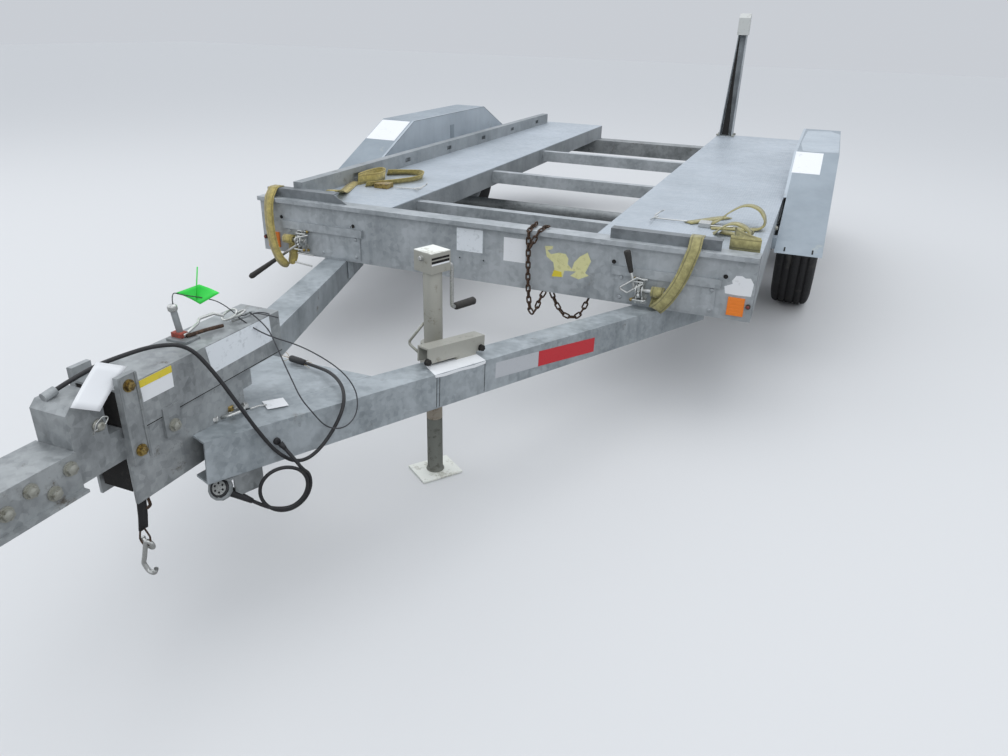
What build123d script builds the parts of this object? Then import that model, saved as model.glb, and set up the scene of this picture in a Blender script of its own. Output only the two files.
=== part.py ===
"""Twin-runway car transport trailer, galvanised, tandem axle, parked on its jack.

Millimetres. +Z up, ground at z = 0, -Y towards the coupler, +X the trailer's left side.
The origin is midway along the overall length, on the centre plane, on the ground.
"""
import os
from math import atan2, cos, degrees, pi, radians, sin, sqrt, tan

from build123d import *

os.makedirs("parts", exist_ok=True)

# Fits
seat_gap = 0.3

# Main frame
beam_y = -612.0
beam_half_width = 1080.0
beam_top = 625.0
beam_height = 245.0
beam_depth = 62.0
beam_wall = 5.0
beam_lip = 20.0
beam_lip_height = 18.0
end_plate_x = (567.0, 945.0)
end_plate_z = (390.0, 495.0)
ridge_x = (553.0, 960.0)
ridge_height = 34.0
ridge_depth = 14.0
deck_length = 3450.0
deck_top = 618.0
deck_thickness = 4.0
runway_inner_x = 459.0
inner_rail_height = 92.0
rail_flange = 44.0
rail_wall = 5.0
side_taper_y = 1020.0
guard_inner_x = 893.0
guard_height = 70.0
guard_width = 46.0
guard_rear_gap = 90.0
guard_slot = (60.0, 22.0)
guard_slot_pitch = 520.0
cross_member_height = 62.0
cross_member_depth = 44.0
cross_member_drop = 12.0
cross_member_ys = (320.0, 1200.0, 2035.0)
rear_beam_depth = 130.0
rear_beam_y = deck_length - rear_beam_depth
rear_beam_height = 100.0

# Wheel stops standing on the front beam
stop_height = 38.0
stop_y = 16.0
stop_depth = 46.0
stop_wall = 5.0
stop_left_x = (529.0, 941.0)
stop_right_x = (1046.0, 704.0)
stop_right_slant = 67.0

# Guide post at the left runway's rear corner
post_x = (474.0, 568.0)
post_top_x = 508.0
post_y = (deck_length - 120.0, deck_length - 20.0)
post_front_top_y = deck_length - 80.0
post_top = 1310.0
post_wall = 5.0
post_foot = 6.0
cap_height = 140.0
cap_overhang = 8.0

# Tongue
tongue_size = 101.6
tongue_wall = 5.0
tongue_nose_y = -1690.0
tongue_nose_x = 100.0
tongue_nose_top = 523.0
tongue_beam_x = 754.0
tongue_back_y = 330.0
nose_plate_y = (-1495.0, -1165.0)
nose_plate_wall = 8.0
hanger_width = 60.0
hanger_wall = 8.0

# Brake actuator, level, between the rails' noses
case_half_width = 52.0
case_bottom = 446.0
case_top = 600.0
case_front_y = -1840.0
case_back_y = -1500.0
housing_half_width = 56.0
housing_top = 705.0
housing_back_y = -1350.0
housing_wall = 5.0
upright_depth = 45.0
upright_wall = 12.0
upright_z = (540.0, 730.0)
slide_half_width = 44.7
slide_bottom = 552.0
slide_top = 620.0
slide_back_y = -1460.0
block_y = (-1944.5, -1866.0)
block_top = 710.0
block_pin = (-1885.0, 650.0)
gland_depth = 22.0

# Coupler
ball_y = -2200.0
ball_z = 585.0
ball_radius = 25.4
ball_clearance = 0.6
coupler_back_y = -1945.0
coupler_wall = 6.0
coupler_bottom = 543.0
coupler_flare = 13.0
socket_depth = 25.0
socket_rise = 14.0
socket_crown = 12.0
crown_radius = 17.0
socket_back_y = -2140.0
latch_width = 28.0

# Emergency brake lever on the actuator
lever_x = -15.0
lever_y = -1590.0
lever_base = (60.0, 44.0, 7.0)
lever_radius = 8.0
lever_height = 75.0
lever_rod_radius = 3.5

# Jack
jack_x = 214.0
jack_y = -838.0
jack_tube_radius = 28.6
jack_tube_wall = 3.2
jack_tube_bottom = 372.0
jack_head_top = 752.0
jack_head_height = 62.0
jack_head_size = 76.0
jack_leg_wall = 3.0
foot_size = 136.0
foot_thickness = 8.0
bar_length = 225.0
bar_width = 46.0
bar_height = 46.0
flange_thickness = 9.0
collar_radius = 40.0
collar_depth = 62.0
jack_up_travel = 190.0
jack_down_travel = 90.0
leg_top_room = 40.0
crank_rod_radius = 6.0
crank_reach = 34.0
crank_drop = 114.0
crank_z = 677.0
grip_radius = 12.0
grip_length = 86.0

# Wheels
axle_ys = (1550.0, 2410.0)
wheel_centre_x = 1190.0
tyre_radius = 343.0
tyre_sides = 48
rim_radius = 190.5
rim_half_width = 74.0
rim_wall = 14.0
tyre_half_width = 100.0
shoulder_depth = 31.0
shoulder_width = 14.0
hub_sides = 12
disc_half_width = 10.0
hub_radius = 42.0
axle_radius = 30.0
spring_half_length = 450.0
spring_width = 45.0
spring_inset = 30.0
leaf_thickness = 12.0
hanger_depth = 70.0

# Fenders
fender_front_y = 700.0
fender_bend_y = 1460.0
fender_rear_bend_y = 2500.0
fender_rear_y = 3260.0
fender_low = 470.0
fender_top = 802.0
fender_inner_x = 1096.0
fender_outer_x = 1295.0
fender_wall = 3.0
fender_skirt = 92.0
fender_lip = 34.0
bracket_width = 55.0

# Straps and their ratchets
strap_width = 50.0
strap_thickness = 5.0
spool_y = -36.0
spool_z = 455.0
spool_radius = 9.0
roll_radius = 21.0
gear_radius = 30.0
gear_width = 12.0
ratchet_plate = (44.0, 110.0)

# Chain
link_inner = 24.0
link_bar = 7.0
link_gap = 9.0

# Wiring cable, its plug and the brake hose: x, y behind the beam's face, z
cable_diameter = 10.0
coil_centre = (190.0, -1557.0, 352.0)
coil_radius = 59.0
coil_sides = 32
coil_thickness = 22.0
coil_heading = (0.66, 0.75, 0.0)
plug_centre = (93.0, -1662.0, 390.0)
plug_face = (0.15, -0.8, 0.58)
plug_radius = 22.0
plug_length = 30.0
boot_radius = 12.5
boot_middle_radius = 10.0
boot_end_radius = 7.5
boot_end = (133.0, -1607.0, 332.0)
holder_wall = 5.0
holder_y = (-1638.0, -1572.0)
holder_bottom = 360.0
grommet_radius = 11.0
grommet_place = (161.8, -1535.0, 462.0)
cable_route = [(182, -1533, 446), (204, -1528, 418), (219, -1524, 394)]
lead_route = [boot_end, (145.4, -1595.2, 318.2), (164, -1587, 309)]
hose_route = [
    (-16, -1908, 721),
    (-12, -1836, 735),
    (0, -1768, 738),
    (22, -1702, 740),
    (60, -1652, 730),
    (98, -1628, 662),
    (133, -1606, 578),
    (157, -1582, 505),
    (173, -1550, 440),
    (190, -1510, 397),
    (208, -1466, 394),
    (226, -1414, 430),
    (242, -1377, 486),
    (222, -1338, 510),
    (178, -1290, 512),
    (115, -1240, 505),
    (50, -1205, 493.6),
    (-8, -1195, 493.6),
]
gland_radius = 9.0
gland_length = 26.0
fitting_radius = 12.0
fitting_length = 105.0


def front(y):
    """Place along the trailer of a distance measured back from the front beam's face."""
    return beam_y + y


def place(point):
    """A point given as (x, y behind the beam's face, z) in the trailer's frame."""
    return Vector(point[0], front(point[1]), point[2])


def save(piece, label):
    piece.part.label = label
    export_step(piece.part, f"parts/{label}.step")


def block(x, y, z, mode=Mode.ADD):
    """A box between two places on each axis, y measured back from the front beam's face."""
    with BuildSketch(Plane.XY.offset(min(z))) as outline:
        with Locations(((x[0] + x[1]) / 2, front((y[0] + y[1]) / 2))):
            Rectangle(abs(x[1] - x[0]), abs(y[1] - y[0]))
    extrude(outline.sketch, amount=abs(z[1] - z[0]), mode=mode)


def side_profile(x, thickness, points):
    """A plate across X whose outline is given as (y behind the beam's face, z)."""
    with BuildSketch(Plane.YZ.offset(x)) as outline:
        with BuildLine():
            Polyline(*[(front(y), z) for y, z in points], close=True)
        make_face()
    extrude(outline.sketch, amount=thickness)


def eight_sides(radius):
    """An eight-sided section with the area of a circle of this radius."""
    RegularPolygon(radius * sqrt(pi / (2 * sqrt(2))), 8)


def flat_bends(places, radii):
    """Points along straight runs and the arcs that join them, three on each arc."""
    points = [places[0]]
    for before, corner, after, radius in zip(places, places[1:], places[2:], radii):
        back, on = (before - corner).normalized(), (after - corner).normalized()
        turn = radians(180 - back.get_angle(on))
        reach = radius * tan(turn / 2)
        inward = (back + on).normalized()
        points += [corner + back * reach, corner + inward * (radius / cos(turn / 2) - radius), corner + on * reach]
    return points + [places[-1]]


def tube(places, radii, radius):
    """An eight-sided bar along straight runs and bends, with flat faces."""
    points = flat_bends(places, radii)
    with BuildLine() as path:
        Polyline(*points)
    with BuildSketch(Plane(origin=points[0], z_dir=points[1] - points[0])) as end:
        eight_sides(radius)
    sweep(end.sketch, path=path.wires()[0], transition=Transition.RIGHT)


def rod(points, radius, bend):
    """A bar along points given as (x, y behind the beam's face, z)."""
    places = [place(point) for point in points]
    tube(places, [bend] * (len(places) - 2), radius)


# Front beam: a folded channel, its top flange leaning out over the face, with an end plate and ridge
beam_bottom = beam_top - beam_height
with BuildPart() as front_beam:
    side_profile(
        -beam_half_width,
        2 * beam_half_width,
        [
            (-beam_lip, beam_top),
            (beam_depth, beam_top),
            (beam_depth, beam_top - beam_wall),
            (beam_wall, beam_top - beam_wall),
            (beam_wall, beam_bottom + beam_wall),
            (beam_depth, beam_bottom + beam_wall),
            (beam_depth, beam_bottom),
            (0, beam_bottom),
            (0, beam_top - beam_lip_height),
            (-beam_lip, beam_top - beam_lip_height),
        ],
    )
    for sign in (1, -1):
        block([sign * x for x in end_plate_x], (-beam_wall, 1), end_plate_z)
        block([sign * x for x in ridge_x], (-ridge_depth, 1), (end_plate_z[1], end_plate_z[1] + ridge_height))
save(front_beam, "front_beam")

# Runways: rails, decks and stops, one set for each side
rail_top = deck_top - deck_thickness
rail_bottom = rail_top - inner_rail_height
runway_outer_x = beam_half_width
for side, sign in (("left", 1), ("right", -1)):
    with BuildPart() as inner_rail:
        with BuildSketch(Plane.XZ.offset(-front(beam_depth))):
            with BuildLine():
                Polyline(
                    (sign * runway_inner_x, rail_top),
                    (sign * (runway_inner_x + rail_flange), rail_top),
                    (sign * (runway_inner_x + rail_flange), rail_top - rail_wall),
                    (sign * (runway_inner_x + rail_wall), rail_top - rail_wall),
                    (sign * (runway_inner_x + rail_wall), rail_bottom + rail_wall),
                    (sign * (runway_inner_x + rail_flange), rail_bottom + rail_wall),
                    (sign * (runway_inner_x + rail_flange), rail_bottom),
                    (sign * runway_inner_x, rail_bottom),
                    close=True,
                )
            make_face()
        extrude(amount=-(deck_length - beam_depth))
    save(inner_rail, f"inner_rail_{side}")

    # The outer rail's web is as deep as the beam in front and tapers to the rails' depth
    with BuildPart() as outer_rail:
        side_profile(
            sign * runway_outer_x - max(sign, 0) * rail_wall,
            rail_wall,
            [
                (beam_depth, rail_top),
                (deck_length, rail_top),
                (deck_length, rail_bottom),
                (side_taper_y, rail_bottom),
                (beam_depth, beam_bottom),
            ],
        )
        flange = (sign * (runway_outer_x - rail_flange), sign * (runway_outer_x - rail_wall / 2))
        block(flange, (beam_depth, deck_length), (rail_top - rail_wall, rail_top))
        block(flange, (side_taper_y, deck_length), (rail_bottom, rail_bottom + rail_wall))
    save(outer_rail, f"outer_rail_{side}")

    with BuildPart() as deck:
        block((sign * runway_inner_x, sign * runway_outer_x), (beam_depth, deck_length), (rail_top, deck_top))
    save(deck, f"deck_{side}")

# Wheel stops: an upright plate with a lip folded back, the right one's inner end cut on a slant
stop_top = beam_top + stop_height
with BuildPart() as wheel_stops:
    for outer, inner, slant in (
        (stop_left_x[1], stop_left_x[0], 0),
        (-stop_right_x[0], -stop_right_x[1], stop_right_slant),
    ):
        with BuildSketch(Plane.XZ.offset(-front(stop_y))):
            with BuildLine():
                Polyline(
                    (outer, beam_top),
                    (outer, stop_top),
                    (inner, stop_top),
                    (inner + slant, beam_top),
                    close=True,
                )
            make_face()
        extrude(amount=-stop_wall)
        block((outer, inner), (stop_y, stop_y + stop_depth), (stop_top - stop_wall, stop_top))
save(wheel_stops, "wheel_stops")

# Guard rail along the right runway, a box section with slots in its inner face
guard_top = deck_top + guard_height
with BuildPart() as guard_rail:
    block(
        (-guard_inner_x, -(guard_inner_x + guard_width)),
        (beam_depth, deck_length - guard_rear_gap),
        (deck_top, guard_top),
    )
    for i in range(6):
        slot_y = beam_depth + guard_slot_pitch * (i + 0.8)
        block(
            (-guard_inner_x + 1, -guard_inner_x - guard_width / 3),
            (slot_y, slot_y + guard_slot[0]),
            (deck_top + guard_slot[1], deck_top + 2 * guard_slot[1]),
            mode=Mode.SUBTRACT,
        )
save(guard_rail, "guard_rail")

# Cross members between the runways, bearers under the decks and the box beam at the rear
member_top = rail_top - cross_member_drop
bearer_width = runway_outer_x - runway_inner_x - 2 * (rail_flange + seat_gap)
with BuildPart() as cross_members:
    for y in cross_member_ys:
        side_profile(
            -runway_inner_x,
            2 * runway_inner_x,
            [
                (y, member_top),
                (y + cross_member_depth, member_top),
                (y + cross_member_depth, member_top - rail_wall),
                (y + rail_wall, member_top - rail_wall),
                (y + rail_wall, member_top - cross_member_height),
                (y, member_top - cross_member_height),
            ],
        )
    for y in cross_member_ys:
        for sign in (1, -1):
            side_profile(
                sign * (runway_inner_x + runway_outer_x) / 2 - bearer_width / 2,
                bearer_width,
                [
                    (y, rail_top),
                    (y + cross_member_depth, rail_top),
                    (y + cross_member_depth, rail_top - rail_wall),
                    (y + rail_wall, rail_top - rail_wall),
                    (y + rail_wall, rail_top - cross_member_height),
                    (y, rail_top - cross_member_height),
                ],
            )
save(cross_members, "cross_members")

with BuildPart() as rear_beam:
    block((-runway_outer_x, runway_outer_x), (rear_beam_y, deck_length), (rail_bottom - rear_beam_height, rail_bottom))
    block(
        (-runway_outer_x, runway_outer_x),
        (rear_beam_y + rail_wall, deck_length - rail_wall),
        (rail_bottom - rear_beam_height + rail_wall, rail_bottom - rail_wall),
        mode=Mode.SUBTRACT,
    )
save(rear_beam, "rear_beam")

# Rear lamps on the rear beam's back, and the reflectors on the front beam
lamp_z = rail_bottom - rear_beam_height / 2
with BuildPart() as rear_lamps:
    for sign in (1, -1):
        block(
            (sign * 830, sign * 1060),
            (deck_length, deck_length + 38),
            (lamp_z - 42, lamp_z + 42),
        )
save(rear_lamps, "rear_lamps")

with BuildPart() as front_reflectors:
    for sign in (1, -1):
        block((sign * 990, sign * 1054), (-7, 0), (397, 470))
        with BuildSketch(Plane.XZ.offset(-front(0))):
            with Locations((sign * 1066, 440)):
                Circle(9)
        extrude(amount=16)
save(front_reflectors, "front_reflectors")

# Guide post: a tapered channel open to the front, under a closed cap
post_base = deck_top + post_foot
with BuildPart() as guide_post:
    with BuildSketch(Plane.XZ.offset(-front(post_y[0]))):
        with BuildLine():
            Polyline(
                (post_x[0], post_base),
                (post_x[1], post_base),
                (post_x[1], post_top),
                (post_top_x, post_top),
                close=True,
            )
        make_face()
    extrude(amount=-(post_y[1] - post_y[0]))
    with BuildSketch(Plane.XZ.offset(-front(post_y[0]))):
        with BuildLine():
            Polyline(
                (post_x[0] + post_wall, post_base),
                (post_x[1] - post_wall, post_base),
                (post_x[1] - post_wall, post_top),
                (post_top_x + post_wall, post_top),
                close=True,
            )
        make_face()
    extrude(amount=-(post_y[1] - post_y[0] - post_wall), mode=Mode.SUBTRACT)
    with BuildSketch(Plane.YZ.offset(post_x[0] - 1)):
        with BuildLine():
            Polyline(
                (front(post_y[0]) - 1, post_base),
                (front(post_y[0]), post_base),
                (front(post_front_top_y), post_top),
                (front(post_y[0]) - 1, post_top),
                close=True,
            )
        make_face()
    extrude(amount=post_x[1] - post_x[0] + 2, mode=Mode.SUBTRACT)
    block((post_x[0] - 12, post_x[1] + 12), (post_y[0] - 10, post_y[1] + 10), (deck_top, post_base))
save(guide_post, "rear_guide_post")

with BuildPart() as post_cap:
    block(
        (post_top_x - cap_overhang, post_x[1] + cap_overhang),
        (post_front_top_y - cap_overhang, post_y[1] + cap_overhang),
        (post_top, post_top + cap_height),
    )
    chamfer(post_cap.edges().group_by(Axis.Z)[-1].sort_by(Axis.Y)[0], length=30, length2=60)
save(post_cap, "guide_post_cap")

# Tongue rails: square tubes that converge and rise from under the beam to the nose
tongue_tilt = atan2(tongue_nose_top - beam_bottom, -tongue_nose_y)
tongue_top = Plane(
    origin=(0, front(0), beam_bottom - seat_gap),
    x_dir=(1, 0, 0),
    z_dir=(0, sin(tongue_tilt), cos(tongue_tilt)),
)
nose_run = -tongue_nose_y / cos(tongue_tilt)
tongue_heading = atan2(tongue_beam_x - tongue_nose_x, nose_run)
tongue_length = (nose_run + tongue_back_y) / cos(tongue_heading)


def rail_inner_x(y):
    """Distance of a tongue rail's inner face from the centre plane, y behind the beam's face."""
    return tongue_nose_x + (y - tongue_nose_y) * tan(tongue_heading) - tongue_size / cos(tongue_heading)


def rail_top_z(y):
    """Height of the tongue rails' tops, y behind the beam's face."""
    return beam_bottom - seat_gap - y * tan(tongue_tilt)


for side, sign in (("left", 1), ("right", -1)):
    inward = tongue_top.from_local_coords(Vector(-sign * cos(tongue_heading), sin(tongue_heading), 0))
    run = tongue_top.from_local_coords(Vector(sign * sin(tongue_heading), cos(tongue_heading), 0))
    inward -= tongue_top.origin
    run -= tongue_top.origin
    nose = tongue_top.from_local_coords(Vector(sign * tongue_nose_x, -nose_run, -tongue_size / 2))
    with BuildPart() as tongue_rail:
        with BuildSketch(Plane(origin=nose + inward * (tongue_size / 2), x_dir=inward, z_dir=run)):
            Rectangle(tongue_size, tongue_size)
            Rectangle(tongue_size - 2 * tongue_wall, tongue_size - 2 * tongue_wall, mode=Mode.SUBTRACT)
        extrude(amount=tongue_length)
        inner_plane = Plane.YZ.offset(sign * (case_half_width + seat_gap))
        split(bisect_by=inner_plane, keep=Keep.TOP if sign > 0 else Keep.BOTTOM)
    save(tongue_rail, f"tongue_rail_{side}")

# Plate that ties the two rails together behind the actuator
with BuildPart() as nose_plate:
    with BuildSketch(tongue_top):
        with BuildLine():
            plate = [
                (rail_inner_x(y) - seat_gap, y / cos(tongue_tilt))
                for y in nose_plate_y
            ]
            Polyline(
                (-plate[0][0], plate[0][1]),
                (plate[0][0], plate[0][1]),
                (plate[1][0], plate[1][1]),
                (-plate[1][0], plate[1][1]),
                close=True,
            )
        make_face()
    extrude(amount=-nose_plate_wall)
save(nose_plate, "nose_plate")

# Hangers from the first cross member down to the rails' rear ends
hanger_y = cross_member_ys[0]
hanger_x = rail_inner_x(hanger_y) + tongue_size / 2
with BuildPart() as hangers:
    for sign in (1, -1):
        block(
            (sign * (hanger_x - hanger_width / 2), sign * (hanger_x + hanger_width / 2)),
            (hanger_y - hanger_wall - seat_gap, hanger_y - seat_gap),
            (rail_top_z(hanger_y - hanger_wall) + seat_gap, rail_top - 2 * rail_wall),
        )
save(hangers, "tongue_hangers")

# Actuator case: two side plates on a floor, open in front
case_wall = case_half_width - slide_half_width - seat_gap
with BuildPart() as case:
    block((-case_half_width, case_half_width), (case_front_y, case_back_y), (case_bottom, case_top))
    block(
        (-case_half_width + case_wall, case_half_width - case_wall),
        (case_front_y, case_back_y - case_wall),
        (case_bottom + case_wall, case_top),
        mode=Mode.SUBTRACT,
    )
    block(
        (-case_half_width + case_wall, case_half_width - case_wall),
        (case_front_y, case_back_y),
        (slide_bottom - seat_gap, case_top),
        mode=Mode.SUBTRACT,
    )
    block(
        (-case_half_width + case_wall, case_half_width - case_wall),
        (case_front_y, case_front_y + 110),
        (case_bottom, case_bottom + case_wall),
        mode=Mode.SUBTRACT,
    )
save(case, "actuator_case")

# Actuator housing: a closed cover on the case, with a bolted upright at each front corner
housing_bottom = case_top + seat_gap
with BuildPart() as housing:
    block((-housing_half_width, housing_half_width), (case_front_y, housing_back_y), (housing_bottom, housing_top))
    block(
        (-housing_half_width + housing_wall, housing_half_width - housing_wall),
        (case_front_y, housing_back_y - housing_wall),
        (housing_bottom, housing_top - housing_wall),
        mode=Mode.SUBTRACT,
    )
    for sign in (1, -1):
        block(
            (sign * (case_half_width + seat_gap), sign * (case_half_width + seat_gap + upright_wall)),
            (case_front_y, case_front_y + upright_depth),
            upright_z,
        )
        block(
            (sign * (case_half_width + seat_gap), sign * (case_half_width + 7)),
            (-1745, -1700),
            (552, housing_bottom + 20),
        )
save(housing, "actuator_housing")

# Slide inside the case, with the block and pin on its front end and the cable's gland
slide_front_y = socket_back_y + 20
with BuildPart() as slide:
    block((-slide_half_width, slide_half_width), (slide_front_y, slide_back_y), (slide_bottom, slide_top))
    block(
        (-slide_half_width + coupler_wall, slide_half_width - coupler_wall),
        (slide_front_y, slide_back_y),
        (slide_bottom + coupler_wall, slide_top - coupler_wall),
        mode=Mode.SUBTRACT,
    )
    block((-slide_half_width, slide_half_width), block_y, (slide_top, block_top))
    chamfer(
        slide.edges().filter_by(Axis.X).group_by(Axis.Z)[-1].sort_by(Axis.Y)[0],
        length=14,
    )
    with BuildSketch(Plane.YZ.offset(-slide_half_width - 9)):
        with Locations((front(block_pin[0]), block_pin[1])):
            Circle(9)
    extrude(amount=2 * slide_half_width + 18)
    gland_end = place(hose_route[0])
    with BuildSketch(Plane(origin=gland_end, z_dir=gland_end - place(hose_route[1]))):
        Circle(gland_radius)
    extrude(amount=gland_length)
save(slide, "actuator_slide")

# Coupler: an inverted channel with a round nose, flared at its foot, over the slide's end
coupler_half_width = slide_half_width + seat_gap + coupler_wall
coupler_roof = slide_top + seat_gap


def coupler_outline(inset):
    """The coupler's plan: straight sides and a round nose about the ball."""
    half = coupler_half_width - inset
    with BuildLine() as outline:
        Polyline(
            (-half, front(ball_y)),
            (-half, front(coupler_back_y)),
            (half, front(coupler_back_y)),
            (half, front(ball_y)),
        )
        ThreePointArc((half, front(ball_y)), (0, front(ball_y) - half), (-half, front(ball_y)))
    make_face(outline.edges())


with BuildPart() as coupler:
    with BuildSketch(Plane.XY.offset(coupler_bottom)):
        coupler_outline(-coupler_flare)
    extrude(amount=coupler_wall)
    with BuildSketch(Plane.XY.offset(coupler_bottom)):
        coupler_outline(0)
    extrude(amount=coupler_roof + coupler_wall - coupler_bottom)
    with BuildSketch(Plane.XY.offset(coupler_bottom)):
        coupler_outline(coupler_wall)
        with Locations((0, front(coupler_back_y))):
            Rectangle(2 * (coupler_half_width - coupler_wall), 20)
    extrude(amount=coupler_roof - coupler_bottom, mode=Mode.SUBTRACT)
    with BuildSketch(Plane.XY.offset(ball_z - socket_depth)):
        coupler_outline(coupler_wall / 2)
        with Locations((0, front((socket_back_y + coupler_back_y) / 2 + 5))):
            Rectangle(3 * coupler_half_width, coupler_back_y - socket_back_y + 10, mode=Mode.SUBTRACT)
    extrude(amount=coupler_roof - ball_z + socket_depth)
    with Locations((0, front(ball_y), ball_z + socket_rise + socket_crown / 2)):
        Cone(ball_radius + ball_clearance, crown_radius, socket_crown, mode=Mode.SUBTRACT)
    with BuildSketch(Plane.XY.offset(ball_z - 2 * socket_depth)):
        with Locations((0, front(ball_y))):
            Circle(ball_radius + ball_clearance)
    extrude(amount=2 * socket_depth + socket_rise, mode=Mode.SUBTRACT)
save(coupler, "coupler")

coupler_top = coupler_roof + coupler_wall
with BuildPart() as latch:
    side_profile(
        -latch_width / 2,
        latch_width,
        [
            (ball_y - 20, coupler_top + seat_gap),
            (ball_y + 96, coupler_top + seat_gap),
            (ball_y + 122, coupler_top + 40),
            (ball_y + 112, coupler_top + 46),
            (ball_y + 60, coupler_top + 28),
            (ball_y - 20, coupler_top + 22),
        ],
    )
save(latch, "coupler_latch")

# Emergency brake lever: a base on the housing, an upright pin and a bent rod
lever_foot = housing_top + seat_gap
with BuildPart() as lever:
    block(
        (lever_x - lever_base[0] / 2, lever_x + lever_base[0] / 2),
        (lever_y - lever_base[1] / 2, lever_y + lever_base[1] / 2),
        (lever_foot, lever_foot + lever_base[2]),
    )
    with BuildSketch(Plane.XY.offset(lever_foot)):
        with Locations((lever_x - 12, front(lever_y))):
            Circle(lever_radius)
    extrude(amount=lever_height)
    rod(
        [
            (lever_x + 8, lever_y, lever_foot + lever_base[2] + 3),
            (lever_x - 8, lever_y + 66, lever_foot + 16),
            (lever_x + 22, lever_y + 112, lever_foot + 16),
        ],
        lever_rod_radius,
        14,
    )
save(lever, "breakaway_lever")

# Jack: an outer tube with a gear head, both turned with the left tongue rail
jack_turn = degrees(tongue_heading)
jack_leg_radius = jack_tube_radius - jack_tube_wall - seat_gap
head_bottom = jack_head_top - jack_head_height
with BuildPart() as jack_tube:
    with BuildSketch(Plane.XY.offset(jack_tube_bottom)):
        with Locations((jack_x, front(jack_y))):
            Circle(jack_tube_radius)
            Circle(jack_tube_radius - jack_tube_wall, mode=Mode.SUBTRACT)
    extrude(amount=head_bottom - jack_tube_bottom)
    with BuildSketch(Plane.XY.offset(head_bottom)):
        with Locations((jack_x, front(jack_y))):
            Rectangle(jack_head_size, jack_head_size, rotation=-jack_turn)
    extrude(amount=jack_head_height)
save(jack_tube, "jack_tube")

# The jack's bracket: a flange from the tube to the rail's top, and a bar along the rail's inner edge
flange_z = rail_top_z(jack_y)
flange_plane = tongue_top.offset(seat_gap)
jack_local = flange_plane.to_local_coords(Vector(jack_x, front(jack_y), flange_z))
along = Vector(sin(tongue_heading), cos(tongue_heading), 0)
outward = Vector(cos(tongue_heading), -sin(tongue_heading), 0)
rail_edge = (rail_inner_x(jack_y) - jack_x) * cos(tongue_heading)
bar_middle = jack_local + outward * (rail_edge + bar_width / 2) - along * (rail_edge * tan(tongue_heading))
flange_middle = jack_local + outward * ((rail_edge + bar_width) / 2)
with BuildPart() as jack_bracket:
    with BuildSketch(flange_plane):
        with Locations((flange_middle.X, flange_middle.Y)):
            Rectangle(rail_edge + bar_width, 2 * collar_radius, rotation=-jack_turn)
        with Locations((jack_local.X, jack_local.Y)):
            Circle(collar_radius)
    extrude(amount=flange_thickness)
    with BuildSketch(flange_plane):
        with Locations((jack_local.X, jack_local.Y)):
            Circle(collar_radius)
    extrude(amount=-collar_depth)
    with BuildSketch(flange_plane.offset(flange_thickness)):
        with Locations((bar_middle.X, bar_middle.Y)):
            Rectangle(bar_width, bar_length, rotation=-jack_turn)
    extrude(amount=bar_height)
    with BuildSketch(flange_plane.offset(flange_thickness)):
        with Locations((bar_middle.X, bar_middle.Y)):
            Rectangle(bar_width - 2 * rail_wall, bar_length, rotation=-jack_turn)
    extrude(amount=bar_height - rail_wall, mode=Mode.SUBTRACT)
    with BuildSketch(Plane.XY.offset(flange_z - 2 * collar_depth)):
        with Locations((jack_x, front(jack_y))):
            Circle(jack_tube_radius + seat_gap)
    extrude(amount=4 * collar_depth, mode=Mode.SUBTRACT)
save(jack_bracket, "jack_bracket")

jack_leg_top = head_bottom - jack_up_travel - leg_top_room
with BuildPart() as jack_leg:
    with BuildSketch(Plane.XY.offset(foot_thickness)):
        with Locations((jack_x, front(jack_y))):
            Circle(jack_leg_radius)
            Circle(jack_leg_radius - jack_leg_wall, mode=Mode.SUBTRACT)
    extrude(amount=jack_leg_top - foot_thickness)
    with BuildSketch():
        with Locations((jack_x, front(jack_y))):
            Rectangle(foot_size, foot_size, rotation=-jack_turn)
    extrude(amount=foot_thickness)
save(jack_leg, "jack_leg")

# Crank on the head's outer face, its grip pointing outward
crank_start = Vector(jack_x, jack_y, crank_z + 20) + outward * (jack_head_size / 2 + seat_gap)
crank_corner = crank_start + outward * crank_reach
crank_foot = crank_corner - Vector(0, 0, crank_drop)
grip_end = crank_foot + outward * grip_length
with BuildPart() as crank:
    rod(
        [tuple(p) for p in (crank_start, crank_corner, crank_foot, grip_end)],
        crank_rod_radius,
        14,
    )
    with BuildSketch(Plane(origin=(grip_end.X, front(grip_end.Y), grip_end.Z), z_dir=-outward)):
        eight_sides(grip_radius)
    extrude(amount=grip_length - 22)
save(crank, "jack_crank")

# Axles, wheels and tyres; the tyres and rims are drawn with flat sides, one flat on the ground


def ring_section(x, y, radius, sides=tyre_sides):
    """The flat-sided outline of a tyre, rim or hub, at a place across the trailer."""
    with BuildSketch(Plane.YZ.offset(x)) as outline:
        with Locations((front(y), tyre_radius)):
            RegularPolygon(radius, sides, major_radius=False, rotation=180 / sides)
    return outline.sketch


with BuildPart() as axles:
    for y in axle_ys:
        with BuildSketch(Plane.YZ.offset(-(wheel_centre_x - disc_half_width))):
            with Locations((front(y), tyre_radius)):
                Circle(axle_radius)
        extrude(amount=2 * (wheel_centre_x - disc_half_width))
save(axles, "axles")

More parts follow.
